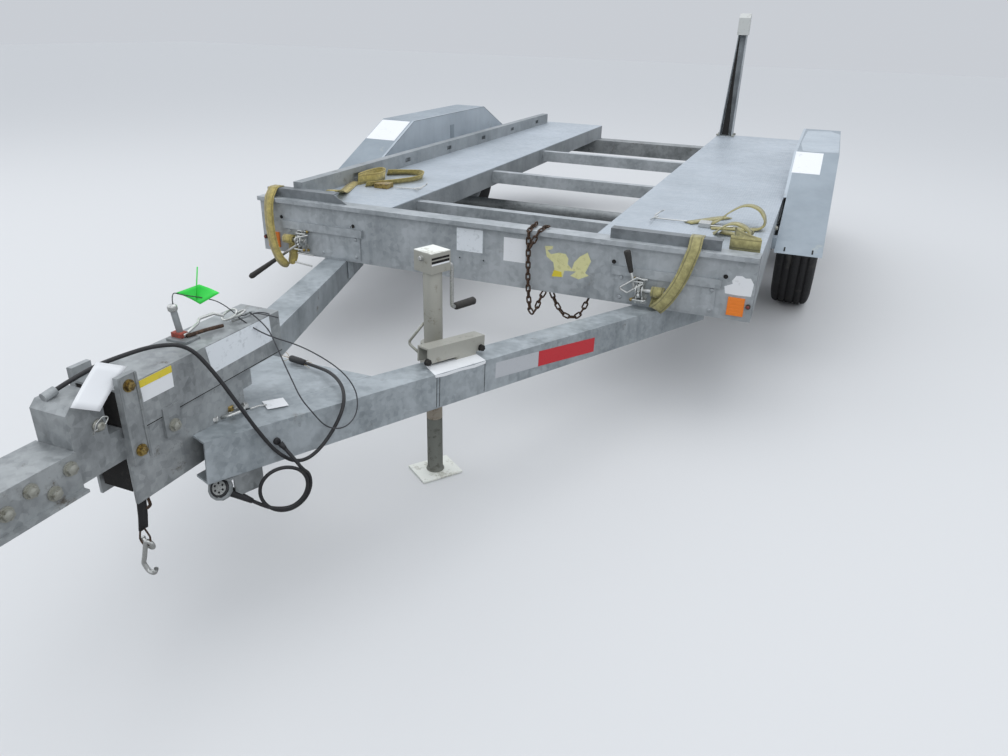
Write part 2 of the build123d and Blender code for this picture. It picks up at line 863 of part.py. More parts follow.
for name, y in zip(("front", "rear"), axle_ys):
    for side, sign in (("left", 1), ("right", -1)):
        middle = sign * wheel_centre_x
        with BuildPart() as tyre:
            extrude(ring_section(middle - tyre_half_width, y, tyre_radius), amount=2 * tyre_half_width)
            for end in (tyre.faces().sort_by(Axis.X)[0], tyre.faces().sort_by(Axis.X)[-1]):
                chamfer(end.edges(), length=shoulder_depth, length2=shoulder_width, reference=end)
            bore = ring_section(middle - tyre_half_width, y, rim_radius + seat_gap)
            extrude(bore, amount=2 * tyre_half_width, mode=Mode.SUBTRACT)
        save(tyre, f"tyre_{name}_{side}")
        with BuildPart() as wheel:
            extrude(ring_section(middle - rim_half_width, y, rim_radius), amount=2 * rim_half_width)
            for start, depth in ((-rim_half_width, rim_half_width - disc_half_width), (disc_half_width, rim_half_width)):
                dish = ring_section(middle + start, y, rim_radius - rim_wall, tyre_sides // 2)
                extrude(dish, amount=depth, mode=Mode.SUBTRACT)
            hub = ring_section(middle - sign * rim_half_width * 0.7, y, hub_radius, hub_sides)
            extrude(hub, amount=sign * rim_half_width * 1.5)
            hole = ring_section(middle - sign * rim_half_width, y, axle_radius + seat_gap, hub_sides)
            extrude(hole, amount=sign * (rim_half_width - disc_half_width + seat_gap), mode=Mode.SUBTRACT)
        save(wheel, f"wheel_{name}_{side}")

# Leaf springs: three stepped leaves over each axle, with hangers and axle clamps
spring_x = runway_outer_x - spring_inset
spring_base = tyre_radius + axle_radius + seat_gap
hanger_ys = (axle_ys[0] - spring_half_length, (axle_ys[0] + axle_ys[1]) / 2, axle_ys[1] + spring_half_length)
for side, sign in (("left", 1), ("right", -1)):
    start_x = sign * spring_x - spring_width / 2
    with BuildPart() as suspension:
        for y in axle_ys:
            for i, reach in enumerate((0.45, 0.7, 0.98)):
                side_profile(
                    start_x,
                    spring_width,
                    [
                        (y - reach * spring_half_length, spring_base + (i + 1) * leaf_thickness),
                        (y - reach * spring_half_length, spring_base + i * leaf_thickness),
                        (y + reach * spring_half_length, spring_base + i * leaf_thickness),
                        (y + reach * spring_half_length, spring_base + (i + 1) * leaf_thickness),
                    ],
                )
            clamp = axle_radius + 12
            side_profile(
                start_x,
                spring_width,
                [
                    (y - clamp, spring_base + 3 * leaf_thickness + 8),
                    (y - clamp, tyre_radius - clamp),
                    (y + clamp, tyre_radius - clamp),
                    (y + clamp, spring_base + 3 * leaf_thickness + 8),
                ],
            )
        for y in hanger_ys:
            side_profile(
                start_x,
                spring_width,
                [
                    (y - hanger_depth, rail_bottom - seat_gap),
                    (y - hanger_depth / 3, spring_base + leaf_thickness),
                    (y + hanger_depth / 3, spring_base + leaf_thickness),
                    (y + hanger_depth, rail_bottom - seat_gap),
                ],
            )
        for y in axle_ys:
            hole = ring_section(start_x, y, axle_radius + seat_gap, hub_sides)
            extrude(hole, amount=spring_width, mode=Mode.SUBTRACT)
    save(suspension, f"suspension_{side}")

# Fenders over each pair of wheels: a folded top, an inner skirt, an outer lip and three feet
fender_line = (
    (fender_front_y, fender_low),
    (fender_bend_y, fender_top),
    (fender_rear_bend_y, fender_top),
    (fender_rear_y, fender_low),
)
fender_slope = atan2(fender_top - fender_low, fender_bend_y - fender_front_y)


def fender_strip(x, thickness, depth):
    """A strip of the fender's side outline, as deep as stated under its top line."""
    drop = depth / cos(fender_slope)
    shift = depth * tan(fender_slope / 2)
    below = [
        (fender_rear_y, fender_low - drop),
        (fender_rear_bend_y - shift, fender_top - depth),
        (fender_bend_y + shift, fender_top - depth),
        (fender_front_y, fender_low - drop),
    ]
    side_profile(x, thickness, list(fender_line) + below)


for side, sign in (("left", 1), ("right", -1)):
    with BuildPart() as fender:
        inner = sign * fender_inner_x
        outer = sign * fender_outer_x
        fender_strip(min(inner, outer), fender_outer_x - fender_inner_x, fender_wall)
        fender_strip(min(inner, inner + sign * fender_wall), fender_wall, fender_skirt)
        fender_strip(min(outer, outer - sign * fender_wall), fender_wall, fender_lip)
        below_foot = fender_skirt / cos(fender_slope)
        block(
            (inner, outer),
            (fender_front_y - 200, fender_rear_y + 200),
            (fender_low - 2 * below_foot, fender_low),
            mode=Mode.SUBTRACT,
        )
        reach = (sign * (runway_outer_x + seat_gap), sign * (fender_inner_x + 1))
        for y in (fender_front_y + 75, fender_rear_y - 75):
            block(reach, (y - bracket_width / 2, y + bracket_width / 2), (fender_low + 4, fender_low + 52))
        block(
            reach,
            (hanger_ys[1] - bracket_width / 2, hanger_ys[1] + bracket_width / 2),
            (rail_bottom + 10, fender_top - fender_skirt + 20),
        )
    save(fender, f"fender_{side}")

# Ratchets on the front beam's face: back plate, gear, spool and handle
ratchets = (
    # side, sign, gear x, spool end x, strap top x, handle end (x, z)
    ("left", 1, 673.0, 772.0, 855.0, (612.0, 602.0)),
    ("right", -1, 853.0, 958.0, 1038.0, (1145.0, 250.0)),
)
for side, sign, gear_x, spool_end, strap_x, handle_end in ratchets:
    with BuildPart() as ratchet:
        for x, reach in ((gear_x, ratchet_plate[0] / 2), (spool_end + 4, ratchet_plate[0] / 4)):
            block(
                (sign * (x - 3), sign * (x + 3)),
                (spool_y - reach * 0.7, -beam_wall - seat_gap),
                (spool_z - reach, spool_z + reach),
            )
        block(
            (sign * (gear_x - 22), sign * (gear_x + 22)),
            (-beam_wall - seat_gap - 4, -beam_wall - seat_gap),
            (spool_z - ratchet_plate[1] / 2 - 14, spool_z + ratchet_plate[1] / 2 - 20),
        )
        with BuildSketch(Plane.YZ.offset(sign * (gear_x - gear_width))):
            with Locations((front(spool_y), spool_z)):
                Circle(spool_radius)
        extrude(amount=sign * (spool_end + 4 - gear_x + gear_width))
        with BuildSketch(Plane.YZ.offset(sign * (gear_x - 15))):
            with Locations((front(spool_y), spool_z)):
                RegularPolygon(gear_radius, 10)
        extrude(amount=sign * gear_width)
        handle_start = Vector(sign * (gear_x - 22), front(spool_y), spool_z)
        handle_stop = Vector(sign * handle_end[0], front(spool_y - 10), handle_end[1])
        with BuildSketch(Plane(origin=handle_start, z_dir=handle_stop - handle_start)):
            Rectangle(18, 18)
        extrude(amount=(handle_stop - handle_start).length)
    save(ratchet, f"ratchet_{side}")

    # The strap from the wheel stop over the beam's lip down to its roll on the spool
    roll_x = sign * (spool_end - 22 - strap_width / 2)
    strap_out = -beam_lip - seat_gap
    with BuildPart() as strap:
        lean = roll_radius - strap_thickness - spool_y + strap_out
        fall = beam_top - spool_z
        shift = roll_x - sign * strap_x
        face = Plane(
            origin=(sign * strap_x, front(strap_out), beam_top),
            x_dir=(1, 0, 0),
            z_dir=(0, -fall, lean),
        )
        run = sqrt(fall**2 + lean**2)
        with BuildSketch(face) as slope:
            with BuildLine():
                Polyline(
                    (-strap_width / 2, 0),
                    (strap_width / 2, 0),
                    (shift + strap_width / 2, -run),
                    (shift - strap_width / 2, -run),
                    close=True,
                )
            make_face()
        extrude(slope.sketch, amount=strap_thickness)
        side_profile(
            sign * strap_x - strap_width / 2,
            strap_width,
            [
                (strap_out - strap_thickness, beam_top),
                (strap_out, beam_top),
                (stop_y - 4, stop_top + seat_gap),
                (stop_y + stop_depth, stop_top + seat_gap),
                (stop_y + stop_depth, stop_top + seat_gap + strap_thickness),
                (stop_y - 8, stop_top + seat_gap + strap_thickness),
            ],
        )
        with BuildSketch(Plane.YZ.offset(roll_x - strap_width / 2)):
            with Locations((front(spool_y), spool_z)):
                Circle(roll_radius)
                Circle(spool_radius + seat_gap, mode=Mode.SUBTRACT)
        extrude(amount=strap_width)
        with BuildSketch(Plane.YZ.offset(roll_x - strap_width)):
            with Locations((front(spool_y), spool_z)):
                Circle(spool_radius + seat_gap)
        extrude(amount=2 * strap_width, mode=Mode.SUBTRACT)
    save(strap, f"strap_{side}")

# Folded spare straps lying on the decks
pile_z = deck_top + seat_gap
with BuildPart() as pile_left:
    block((690, 860), (330, 420), (pile_z, pile_z + 16))
    block((850, 1010), (300, 560), (pile_z, pile_z + 70))
    block((600, 700), (372, 386), (pile_z, pile_z + 14))
    block((960, 1068), (beam_depth + 3, beam_depth + 50), (pile_z, pile_z + 46))
save(pile_left, "spare_strap_left")

with BuildPart() as pile_right:
    block((-850, -700), (250, 420), (pile_z, pile_z + 16))
    block((-860, -640), (400, 700), (pile_z, pile_z + 42))
    block((-700, -520), (396, 410), (pile_z, pile_z + 14))
save(pile_right, "spare_strap_right")

# Safety chain draped over the front beam: links along two runs
link_pitch = link_inner - seat_gap


def chain(points, flip):
    """Links laid end to end along points given as (x, y behind the beam's face, z)."""
    places = [place(point) for point in points]
    with BuildLine() as path:
        Polyline(*places)
    route = path.wires()[0]
    count = int(route.length / link_pitch)
    for i in range(count):
        centre = route @ ((i + 0.5) * link_pitch / route.length)
        heading = route % ((i + 0.5) * link_pitch / route.length)
        across = Vector(0, 1, 0) if abs(heading.Y) < 0.9 else Vector(0, 0, 1)
        across = across.cross(heading).normalized()
        if (i + flip) % 2:
            across = heading.cross(across)
        normal = heading.cross(across)
        face = Plane(origin=centre - normal * (link_bar / 2), x_dir=heading, z_dir=normal)
        with BuildSketch(face) as link:
            Rectangle(link_inner + 2 * link_bar, link_gap + 2 * link_bar)
            Rectangle(link_inner, link_gap, mode=Mode.SUBTRACT)
        extrude(link.sketch, amount=link_bar)


chain_drop = -beam_lip - seat_gap - link_gap / 2 - link_bar
chain_lie = beam_top + seat_gap + link_gap / 2 + link_bar
chain_under = beam_bottom - seat_gap - link_gap / 2 - link_bar
with BuildPart() as safety_chain:
    chain(
        [
            (216, 60, chain_lie),
            (216, chain_drop, chain_lie),
            (219, chain_drop, 520),
            (223, chain_drop, 405),
            (236, -26, 300),
            (258, -20, 300),
            (280, 22, chain_under),
        ],
        0,
    )
    chain(
        [
            (304, 26, chain_under + 2.2),
            (333, 22, 322),
            (363, 18, 288),
            (398, 17, 281),
            (430, 18, 296),
            (462, 26, chain_under),
        ],
        1,
    )
save(safety_chain, "safety_chain")

# Wiring plug under the left rail's nose: a round shell and the boot its cable leaves by
face_way = Vector(*plug_face).normalized()
plug_place = place(plug_centre)
boot_start = plug_place - face_way * (plug_length * 0.6)
boot_way = (place(boot_end) - boot_start).normalized()
with BuildPart() as plug:
    with BuildSketch(Plane(origin=plug_place, z_dir=-face_way)):
        RegularPolygon(plug_radius, hub_sides)
    extrude(amount=plug_length)
    boot_length = (place(boot_end) - boot_start).length
    for reach, radius in ((0.35, boot_radius), (0.65, boot_middle_radius), (1.0, boot_end_radius)):
        with BuildSketch(Plane(origin=boot_start, z_dir=boot_way)):
            RegularPolygon(radius, 8)
        extrude(amount=boot_length * reach)
save(plug, "wiring_plug")

# The plug's holder: a plate hung under the rail, with a ring round the plug's shell
holder_x = rail_inner_x(holder_y[0]) + tongue_size / cos(tongue_heading) - holder_wall
holder_origin = Vector(holder_x, front(holder_y[0]), 0)
holder_run = (holder_y[1] - holder_y[0]) / cos(tongue_heading)


def under_rail(y):
    return rail_top_z(y) - tongue_size / cos(tongue_tilt) - seat_gap


with BuildPart() as holder:
    with BuildSketch(Plane(origin=holder_origin, x_dir=along, z_dir=outward)):
        with BuildLine():
            Polyline(
                (0, under_rail(holder_y[0])),
                (holder_run, under_rail(holder_y[1])),
                (holder_run, holder_bottom + 22),
                (holder_run - 16, holder_bottom),
                (14, holder_bottom),
                (0, holder_bottom + 14),
                close=True,
            )
        make_face()
    extrude(amount=holder_wall)
    with BuildSketch(Plane(origin=plug_place - face_way * 3, z_dir=-face_way)):
        RegularPolygon(plug_radius + 6, hub_sides, major_radius=False)
        RegularPolygon(plug_radius + seat_gap, hub_sides, major_radius=False, mode=Mode.SUBTRACT)
    extrude(amount=8)
    block((97, 121), (-1655, -1630), (410, 415))
save(holder, "plug_holder")

# Grommet in the left rail's outer face
grommet_face = place(grommet_place) + outward * seat_gap
grommet_way = (place(cable_route[1]) - place(cable_route[0])).normalized()
with BuildPart() as grommet:
    with BuildSketch(Plane(origin=grommet_face, z_dir=outward)):
        RegularPolygon(grommet_radius, hub_sides)
    extrude(amount=12)
    with BuildSketch(Plane(origin=place(cable_route[0]), z_dir=-grommet_way)):
        RegularPolygon(cable_diameter / 2 + 2, hub_sides)
    extrude(amount=16)
save(grommet, "cable_grommet")

# Coil of the wiring cable, one closed ring
coil_place = place(coil_centre)
coil_x = Vector(*coil_heading).normalized()
coil_normal = coil_x.cross(Vector(0, 0, 1))
with BuildPart() as coil:
    with BuildSketch(Plane(origin=coil_place - coil_normal * (coil_thickness / 2), x_dir=coil_x, z_dir=coil_normal)):
        RegularPolygon(coil_radius + 1.2 * cable_diameter, coil_sides)
        RegularPolygon(coil_radius - cable_diameter, coil_sides, mode=Mode.SUBTRACT)
    extrude(amount=coil_thickness)
save(coil, "wiring_coil")


def cord(points, label):
    """A cord's tube: straight runs joined by tangent arcs, each as large as its runs allow."""
    places = [place(point) for point in points]
    runs = [b - a for a, b in zip(places, places[1:])]
    radii = []
    for before, after in zip(runs, runs[1:]):
        turn = radians(before.get_angle(after))
        radii.append(0.45 * min(before.length, after.length) / tan(turn / 2))
    with BuildPart() as run:
        tube(places, radii, cable_diameter / 2)
    print(label, "radii in diameters:", [round(r / cable_diameter, 1) for r in radii])
    save(run, label)


cord(cable_route, "wiring_cable")
cord(lead_route, "wiring_lead")
cord(hose_route, "brake_hose")

# Fitting on the nose plate that the brake hose ends in
fitting_start = place(hose_route[-1])
with BuildPart() as fitting:
    with BuildSketch(Plane(origin=fitting_start, z_dir=fitting_start - place(hose_route[-2]))):
        Circle(fitting_radius)
    extrude(amount=fitting_length)
save(fitting, "hose_fitting")
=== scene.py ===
"""A galvanised car trailer with twin runways: finishes, tyres, straps, cords, chain and small fittings."""
import math

import bmesh
import bpy
from mathutils import Matrix, Vector


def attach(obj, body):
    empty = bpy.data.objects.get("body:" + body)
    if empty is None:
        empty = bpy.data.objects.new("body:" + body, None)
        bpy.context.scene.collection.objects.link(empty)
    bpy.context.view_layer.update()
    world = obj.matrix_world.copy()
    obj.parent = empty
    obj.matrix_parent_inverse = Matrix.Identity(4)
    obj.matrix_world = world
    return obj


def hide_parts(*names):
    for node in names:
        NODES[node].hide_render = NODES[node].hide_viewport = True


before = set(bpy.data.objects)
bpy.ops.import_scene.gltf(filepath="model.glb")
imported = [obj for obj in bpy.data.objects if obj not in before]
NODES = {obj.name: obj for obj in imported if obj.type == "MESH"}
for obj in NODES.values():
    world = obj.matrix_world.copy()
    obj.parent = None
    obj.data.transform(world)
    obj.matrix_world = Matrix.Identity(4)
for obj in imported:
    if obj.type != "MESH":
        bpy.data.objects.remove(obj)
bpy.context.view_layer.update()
BEAM_Y = -0.612  # the front beam's face, from the trailer's middle


def at(x, y, z):
    """A place given in millimetres, y measured back from the front beam's face."""
    return Vector((x / 1000, y / 1000 + BEAM_Y, z / 1000))


def places(*spots):
    """Several places, each given as for at."""
    return [at(*spot) for spot in spots]


def side_outline(x, *corners):
    """Places on an upright plane along the trailer, from their y and z."""
    return [at(x, y, z) for y, z in corners]


def front_outline(y, *corners):
    """Places on an upright plane across the trailer, from their x and z."""
    return [at(x, y, z) for x, z in corners]


# Camera
PHOTO_WIDTH = 1008  # pixels
FOCAL_LENGTH = 760.9  # pixels, fitted to the photograph as place and angles are
FILM_WIDTH = 36  # millimetres


def camera():
    """The photograph's viewpoint, without its lens distortion."""
    place = Vector((1.2123, -2.7671 + BEAM_Y, 1.3585))
    yaw, pitch, roll = (math.radians(a) for a in (-21.556, 25.137, 1.615))
    ahead = Vector((math.sin(yaw) * math.cos(pitch), math.cos(yaw) * math.cos(pitch), -math.sin(pitch)))
    level = Vector((math.cos(yaw), -math.sin(yaw), 0))
    above = level.cross(ahead)
    right = level * math.cos(roll) + above * math.sin(roll)
    up = above * math.cos(roll) - level * math.sin(roll)
    data = bpy.data.cameras.new("camera")
    data.sensor_width = FILM_WIDTH
    data.lens = FOCAL_LENGTH / PHOTO_WIDTH * FILM_WIDTH
    data.clip_start = 0.02
    data.clip_end = 60
    cam = bpy.data.objects.new("camera", data)
    cam.matrix_world = Matrix((right, up, -ahead)).transposed().to_4x4()
    cam.location = place
    bpy.context.scene.collection.objects.link(cam)
    bpy.context.scene.camera = cam


camera()


# Node helpers
def put(tree, kind, values=(), **settings):
    """A node with its settings and the values or links of its inputs, by name or number."""
    made = tree.nodes.new(kind)
    for key, value in settings.items():
        setattr(made, key, value)
    for key, value in dict(values).items():
        socket = made.inputs[key]
        if isinstance(value, bpy.types.NodeSocket):
            tree.links.new(value, socket)
        else:
            socket.default_value = value
    return made


def maths(tree, what, *values, clamp=False):
    """The result of one sum on numbers or links."""
    made = put(tree, "ShaderNodeMath", enumerate(values), operation=what, use_clamp=clamp)
    return made.outputs[0]


def mixed(tree, share, first, second):
    """A colour between two colours."""
    made = put(tree, "ShaderNodeMix", data_type="RGBA")
    for place, value in ((0, share), (6, first), (7, second)):
        if isinstance(value, bpy.types.NodeSocket):
            tree.links.new(value, made.inputs[place])
        else:
            made.inputs[place].default_value = value
    return made.outputs[2]


def ramp(tree, value, low, high, first=0.0, second=1.0):
    """A value carried from the range low to high over to the range first to second."""
    made = put(
        tree,
        "ShaderNodeMapRange",
        {0: value, 1: low, 2: high, 3: first, 4: second},
        interpolation_type="SMOOTHSTEP",
    )
    return made.outputs[0]


def group(name, inputs, outputs):
    """An empty shader node group with its sockets; returns the tree, its input node and its output node."""
    tree = bpy.data.node_groups.new(name, "ShaderNodeTree")
    for label, kind, value in inputs:
        socket = tree.interface.new_socket(label, in_out="INPUT", socket_type=kind)
        socket.default_value = value
    for label, kind in outputs:
        tree.interface.new_socket(label, in_out="OUTPUT", socket_type=kind)
    return tree, tree.nodes.new("NodeGroupInput"), tree.nodes.new("NodeGroupOutput")


FLOAT = "NodeSocketFloat"


def rgb(hexadecimal):
    """A colour written as six hexadecimal digits, as Blender's linear values."""
    parts = [int(hexadecimal[i : i + 2], 16) / 255 for i in (0, 2, 4)]
    return tuple(p / 12.92 if p <= 0.04045 else ((p + 0.055) / 1.055) ** 2.4 for p in parts) + (1.0,)


# Shared effects
def mottling_group():
    """Zinc crystals and clouds: uneven light and dark, as on dipped steel that has stood outdoors."""
    tree, start, end = group(
        "mottling",
        [("Cloud size", FLOAT, 6.0), ("Crystal size", FLOAT, 90.0), ("Streak", FLOAT, 0.5)],
        [("Cloud", FLOAT), ("Crystal", FLOAT), ("Streaks", FLOAT)],
    )
    place = put(tree, "ShaderNodeTexCoord").outputs["Object"]
    cloud = put(
        tree,
        "ShaderNodeTexNoise",
        {"Vector": place, "Scale": start.outputs[0], "Detail": 6.0, "Roughness": 0.62},
    ).outputs[0]
    crystal = put(
        tree,
        "ShaderNodeTexVoronoi",
        {"Vector": place, "Scale": start.outputs[1], "Randomness": 1.0},
    ).outputs["Color"]
    tone = put(tree, "ShaderNodeSeparateColor", {0: crystal}).outputs[0]
    run = put(tree, "ShaderNodeMapping", {"Vector": place, "Scale": (26.0, 26.0, 2.2)}).outputs[0]
    streak = put(
        tree, "ShaderNodeTexNoise", {"Vector": run, "Scale": 1.0, "Detail": 5.0, "Roughness": 0.55}
    ).outputs[0]
    streak = maths(tree, "MULTIPLY", ramp(tree, streak, 0.42, 0.72), start.outputs[2])
    for value, socket in ((cloud, 0), (tone, 1), (streak, 2)):
        tree.links.new(value, end.inputs[socket])
    return tree


def grime_group():
    """Patches of dirt or lichen that thin out at their edges."""
    tree, start, end = group(
        "grime",
        [("Patch size", FLOAT, 4.0), ("Cover", FLOAT, 0.3), ("Speckle", FLOAT, 220.0)],
        [("Mask", FLOAT), ("Fine", FLOAT)],
    )
    place = put(tree, "ShaderNodeTexCoord").outputs["Object"]
    patch = put(
        tree,
        "ShaderNodeTexNoise",
        {"Vector": place, "Scale": start.outputs[0], "Detail": 8.0, "Roughness": 0.7},
    ).outputs[0]
    edge = maths(tree, "SUBTRACT", 0.78, maths(tree, "MULTIPLY", start.outputs[1], 0.5))
    patch = ramp(tree, patch, maths(tree, "SUBTRACT", edge, 0.12), edge)
    fine = put(
        tree,
        "ShaderNodeTexNoise",
        {"Vector": place, "Scale": start.outputs[2], "Detail": 3.0, "Roughness": 0.6},
    ).outputs[0]
    broken = maths(tree, "MULTIPLY", patch, ramp(tree, fine, 0.3, 0.6, 0.35, 1.0))
    tree.links.new(broken, end.inputs[0])
    tree.links.new(fine, end.inputs[1])
    return tree


def weave_group():
    """Webbing: cross ribs, a darker band of stitches along each edge, and worn threads."""
    tree, start, end = group(
        "weave",
        [("Ribs per metre", FLOAT, 420.0), ("Stripe", FLOAT, 0.5)],
        [("Height", FLOAT), ("Stripes", FLOAT), ("Wear", FLOAT)],
    )
    flat = put(tree, "ShaderNodeUVMap", uv_map="ribbon").outputs[0]
    parts = put(tree, "ShaderNodeSeparateXYZ", {0: flat})
    across, along = parts.outputs[0], parts.outputs[1]
    turn = maths(tree, "MULTIPLY", start.outputs[0], 6.2832)
    slant = maths(tree, "MULTIPLY", across, 900.0)
    rib = maths(tree, "SINE", maths(tree, "ADD", maths(tree, "MULTIPLY", along, turn), slant))
    back = maths(tree, "SINE", maths(tree, "SUBTRACT", maths(tree, "MULTIPLY", along, turn), slant))
    height = maths(tree, "MULTIPLY", maths(tree, "ADD", rib, back), 0.25)
    middle = maths(tree, "ABSOLUTE", maths(tree, "SUBTRACT", across, 0.025))
    line = maths(tree, "ABSOLUTE", maths(tree, "SUBTRACT", middle, 0.0165))
    stripe = maths(tree, "MULTIPLY", ramp(tree, line, 0.0012, 0.0028, 1.0, 0.0), start.outputs[1])
    worn = put(
        tree,
        "ShaderNodeTexNoise",
        {"Vector": flat, "Scale": 38.0, "Detail": 6.0, "Roughness": 0.7},
    ).outputs[0]
    for value, socket in ((height, 0), (stripe, 1), (worn, 2)):
        tree.links.new(value, end.inputs[socket])
    return tree


MOTTLING, GRIME, WEAVE = mottling_group(), grime_group(), weave_group()


# Finishes
def surface(name, metallic=0.0, roughness=0.5, **fixed):
    """A material with one Principled shader, ready for its links."""
    made = bpy.data.materials.new(name)
    made.use_nodes = True
    tree = made.node_tree
    shader = tree.nodes["Principled BSDF"]
    shader.inputs["Metallic"].default_value = metallic
    shader.inputs["Roughness"].default_value = roughness
    for key, value in fixed.items():
        shader.inputs[key.replace("_", " ")].default_value = value
    return made, tree, shader


def bumped(tree, shader, height, strength, distance):
    """Lets a height stand out on the surface."""
    bump = put(tree, "ShaderNodeBump", {"Strength": strength, "Distance": distance, "Height": height})
    tree.links.new(bump.outputs[0], shader.inputs["Normal"])


def zinc_coat(
    name,
    pale="9aa0a2",
    dark="5d6365",
    cloud=5.0,
    crystal=60.0,
    streak=0.5,
    dirt="4a4236",
    cover=0.25,
    patch=5.0,
    metallic=0.35,
    roughness=(0.42, 0.62),
    crystal_share=0.4,
    grain=0.15,
):
    """Hot-dip galvanised steel: crystals, clouds, rain streaks and dirt."""
    made, tree, shader = surface(name, metallic)
    look = put(tree, "ShaderNodeGroup", node_tree=MOTTLING)
    for key, value in (("Cloud size", cloud), ("Crystal size", crystal), ("Streak", streak)):
        look.inputs[key].default_value = value
    soil = put(tree, "ShaderNodeGroup", node_tree=GRIME)
    for key, value in (("Patch size", patch), ("Cover", cover)):
        soil.inputs[key].default_value = value
    tone = maths(tree, "MULTIPLY", look.outputs["Crystal"], crystal_share)
    tone = maths(tree, "ADD", ramp(tree, look.outputs["Cloud"], 0.2, 0.8), tone)
    tone = maths(tree, "SUBTRACT", tone, maths(tree, "MULTIPLY", look.outputs["Streaks"], 0.5), clamp=True)
    colour = mixed(tree, tone, rgb(dark), rgb(pale))
    colour = mixed(tree, soil.outputs["Mask"], colour, rgb(dirt))
    tree.links.new(colour, shader.inputs["Base Color"])
    rough = maths(tree, "ADD", maths(tree, "MULTIPLY", soil.outputs["Mask"], 0.25),
                  ramp(tree, look.outputs["Crystal"], 0.0, 1.0, roughness[0], roughness[1]), clamp=True)
    tree.links.new(rough, shader.inputs["Roughness"])
    metal = maths(tree, "SUBTRACT", metallic, maths(tree, "MULTIPLY", soil.outputs["Mask"], metallic))
    tree.links.new(metal, shader.inputs["Metallic"])
    bumped(tree, shader, maths(tree, "ADD", soil.outputs["Fine"], look.outputs["Cloud"]), grain, 0.001)
    return made


def tread_plate():
    """Runway sheet: low raised tread in rows, with dirt between."""
    made, tree, shader = surface("runway_sheet", 0.35)
    place = put(tree, "ShaderNodeTexCoord").outputs["Object"]
    turned = put(tree, "ShaderNodeMapping", {"Vector": place, "Rotation": (0, 0, 0.785)}).outputs[0]
    parts = put(tree, "ShaderNodeSeparateXYZ", {0: turned})
    pitch = 2 * math.pi / 0.0155
    rows = [maths(tree, "SINE", maths(tree, "MULTIPLY", parts.outputs[i], pitch)) for i in (0, 1)]
    stud = ramp(tree, maths(tree, "MULTIPLY", *rows), 0.25, 0.75)
    look = put(
        tree,
        "ShaderNodeGroup",
        {"Cloud size": 2.5, "Crystal size": 45.0, "Streak": 0.0},
        node_tree=MOTTLING,
    )
    soil = put(tree, "ShaderNodeGroup", {"Patch size": 2.2, "Cover": 0.15, "Speckle": 320.0}, node_tree=GRIME)
    tone = maths(
        tree, "ADD", ramp(tree, look.outputs["Cloud"], 0.1, 0.9), maths(tree, "MULTIPLY", stud, 0.35),
        clamp=True,
    )
    # The sheet's own zinc tones, made paler to paint in the sky's reflection at grazing angles
    colour = mixed(tree, tone, rgb("a0a9b0"), rgb("bdc5cd"))
    hollow = maths(
        tree,
        "MULTIPLY",
        soil.outputs["Mask"],
        maths(tree, "SUBTRACT", 1.0, maths(tree, "MULTIPLY", stud, 0.6)),
    )
    colour = mixed(tree, hollow, colour, rgb("7d8285"))
    tree.links.new(colour, shader.inputs["Base Color"])
    tree.links.new(ramp(tree, look.outputs["Crystal"], 0, 1, 0.38, 0.58), shader.inputs["Roughness"])
    bumped(tree, shader, stud, 0.5, 0.0012)
    return made


def plain(
    name, colour, metallic=0.0, roughness=(0.4, 0.6), spot=None, share=0.3, size=30.0, bump=0.1,
    distance=0.0006, **fixed,
):
    """A finish with one main colour, clouded towards a second, with an uneven gloss and grain."""
    made, tree, shader = surface(name, metallic, **fixed)
    soil = put(
        tree,
        "ShaderNodeGroup",
        {"Patch size": size, "Cover": share, "Speckle": size * 14},
        node_tree=GRIME,
    )
    second = spot or "3a352d"
    tree.links.new(mixed(tree, soil.outputs["Mask"], rgb(colour), rgb(second)), shader.inputs["Base Color"])
    tree.links.new(ramp(tree, soil.outputs["Fine"], 0.3, 0.7, *roughness), shader.inputs["Roughness"])
    bumped(tree, shader, soil.outputs["Fine"], bump, distance)
    return made


def webbing_cloth(name, colour, dark, stripe):
    """Woven strap cloth, worn towards its dark colour, with stripes along it."""
    made, tree, shader = surface(name, 0.0, Sheen_Weight=0.25)
    cloth = put(tree, "ShaderNodeGroup", {"Ribs per metre": 420.0, "Stripe": 0.75}, node_tree=WEAVE)
    base = mixed(tree, ramp(tree, cloth.outputs["Wear"], 0.35, 0.7), rgb(dark), rgb(colour))
    base = mixed(tree, cloth.outputs["Stripes"], base, rgb(stripe))
    tree.links.new(base, shader.inputs["Base Color"])
    tree.links.new(ramp(tree, cloth.outputs["Wear"], 0.2, 0.8, 0.7, 0.95), shader.inputs["Roughness"])
    bumped(tree, shader, cloth.outputs["Height"], 0.6, 0.0008)
    return made


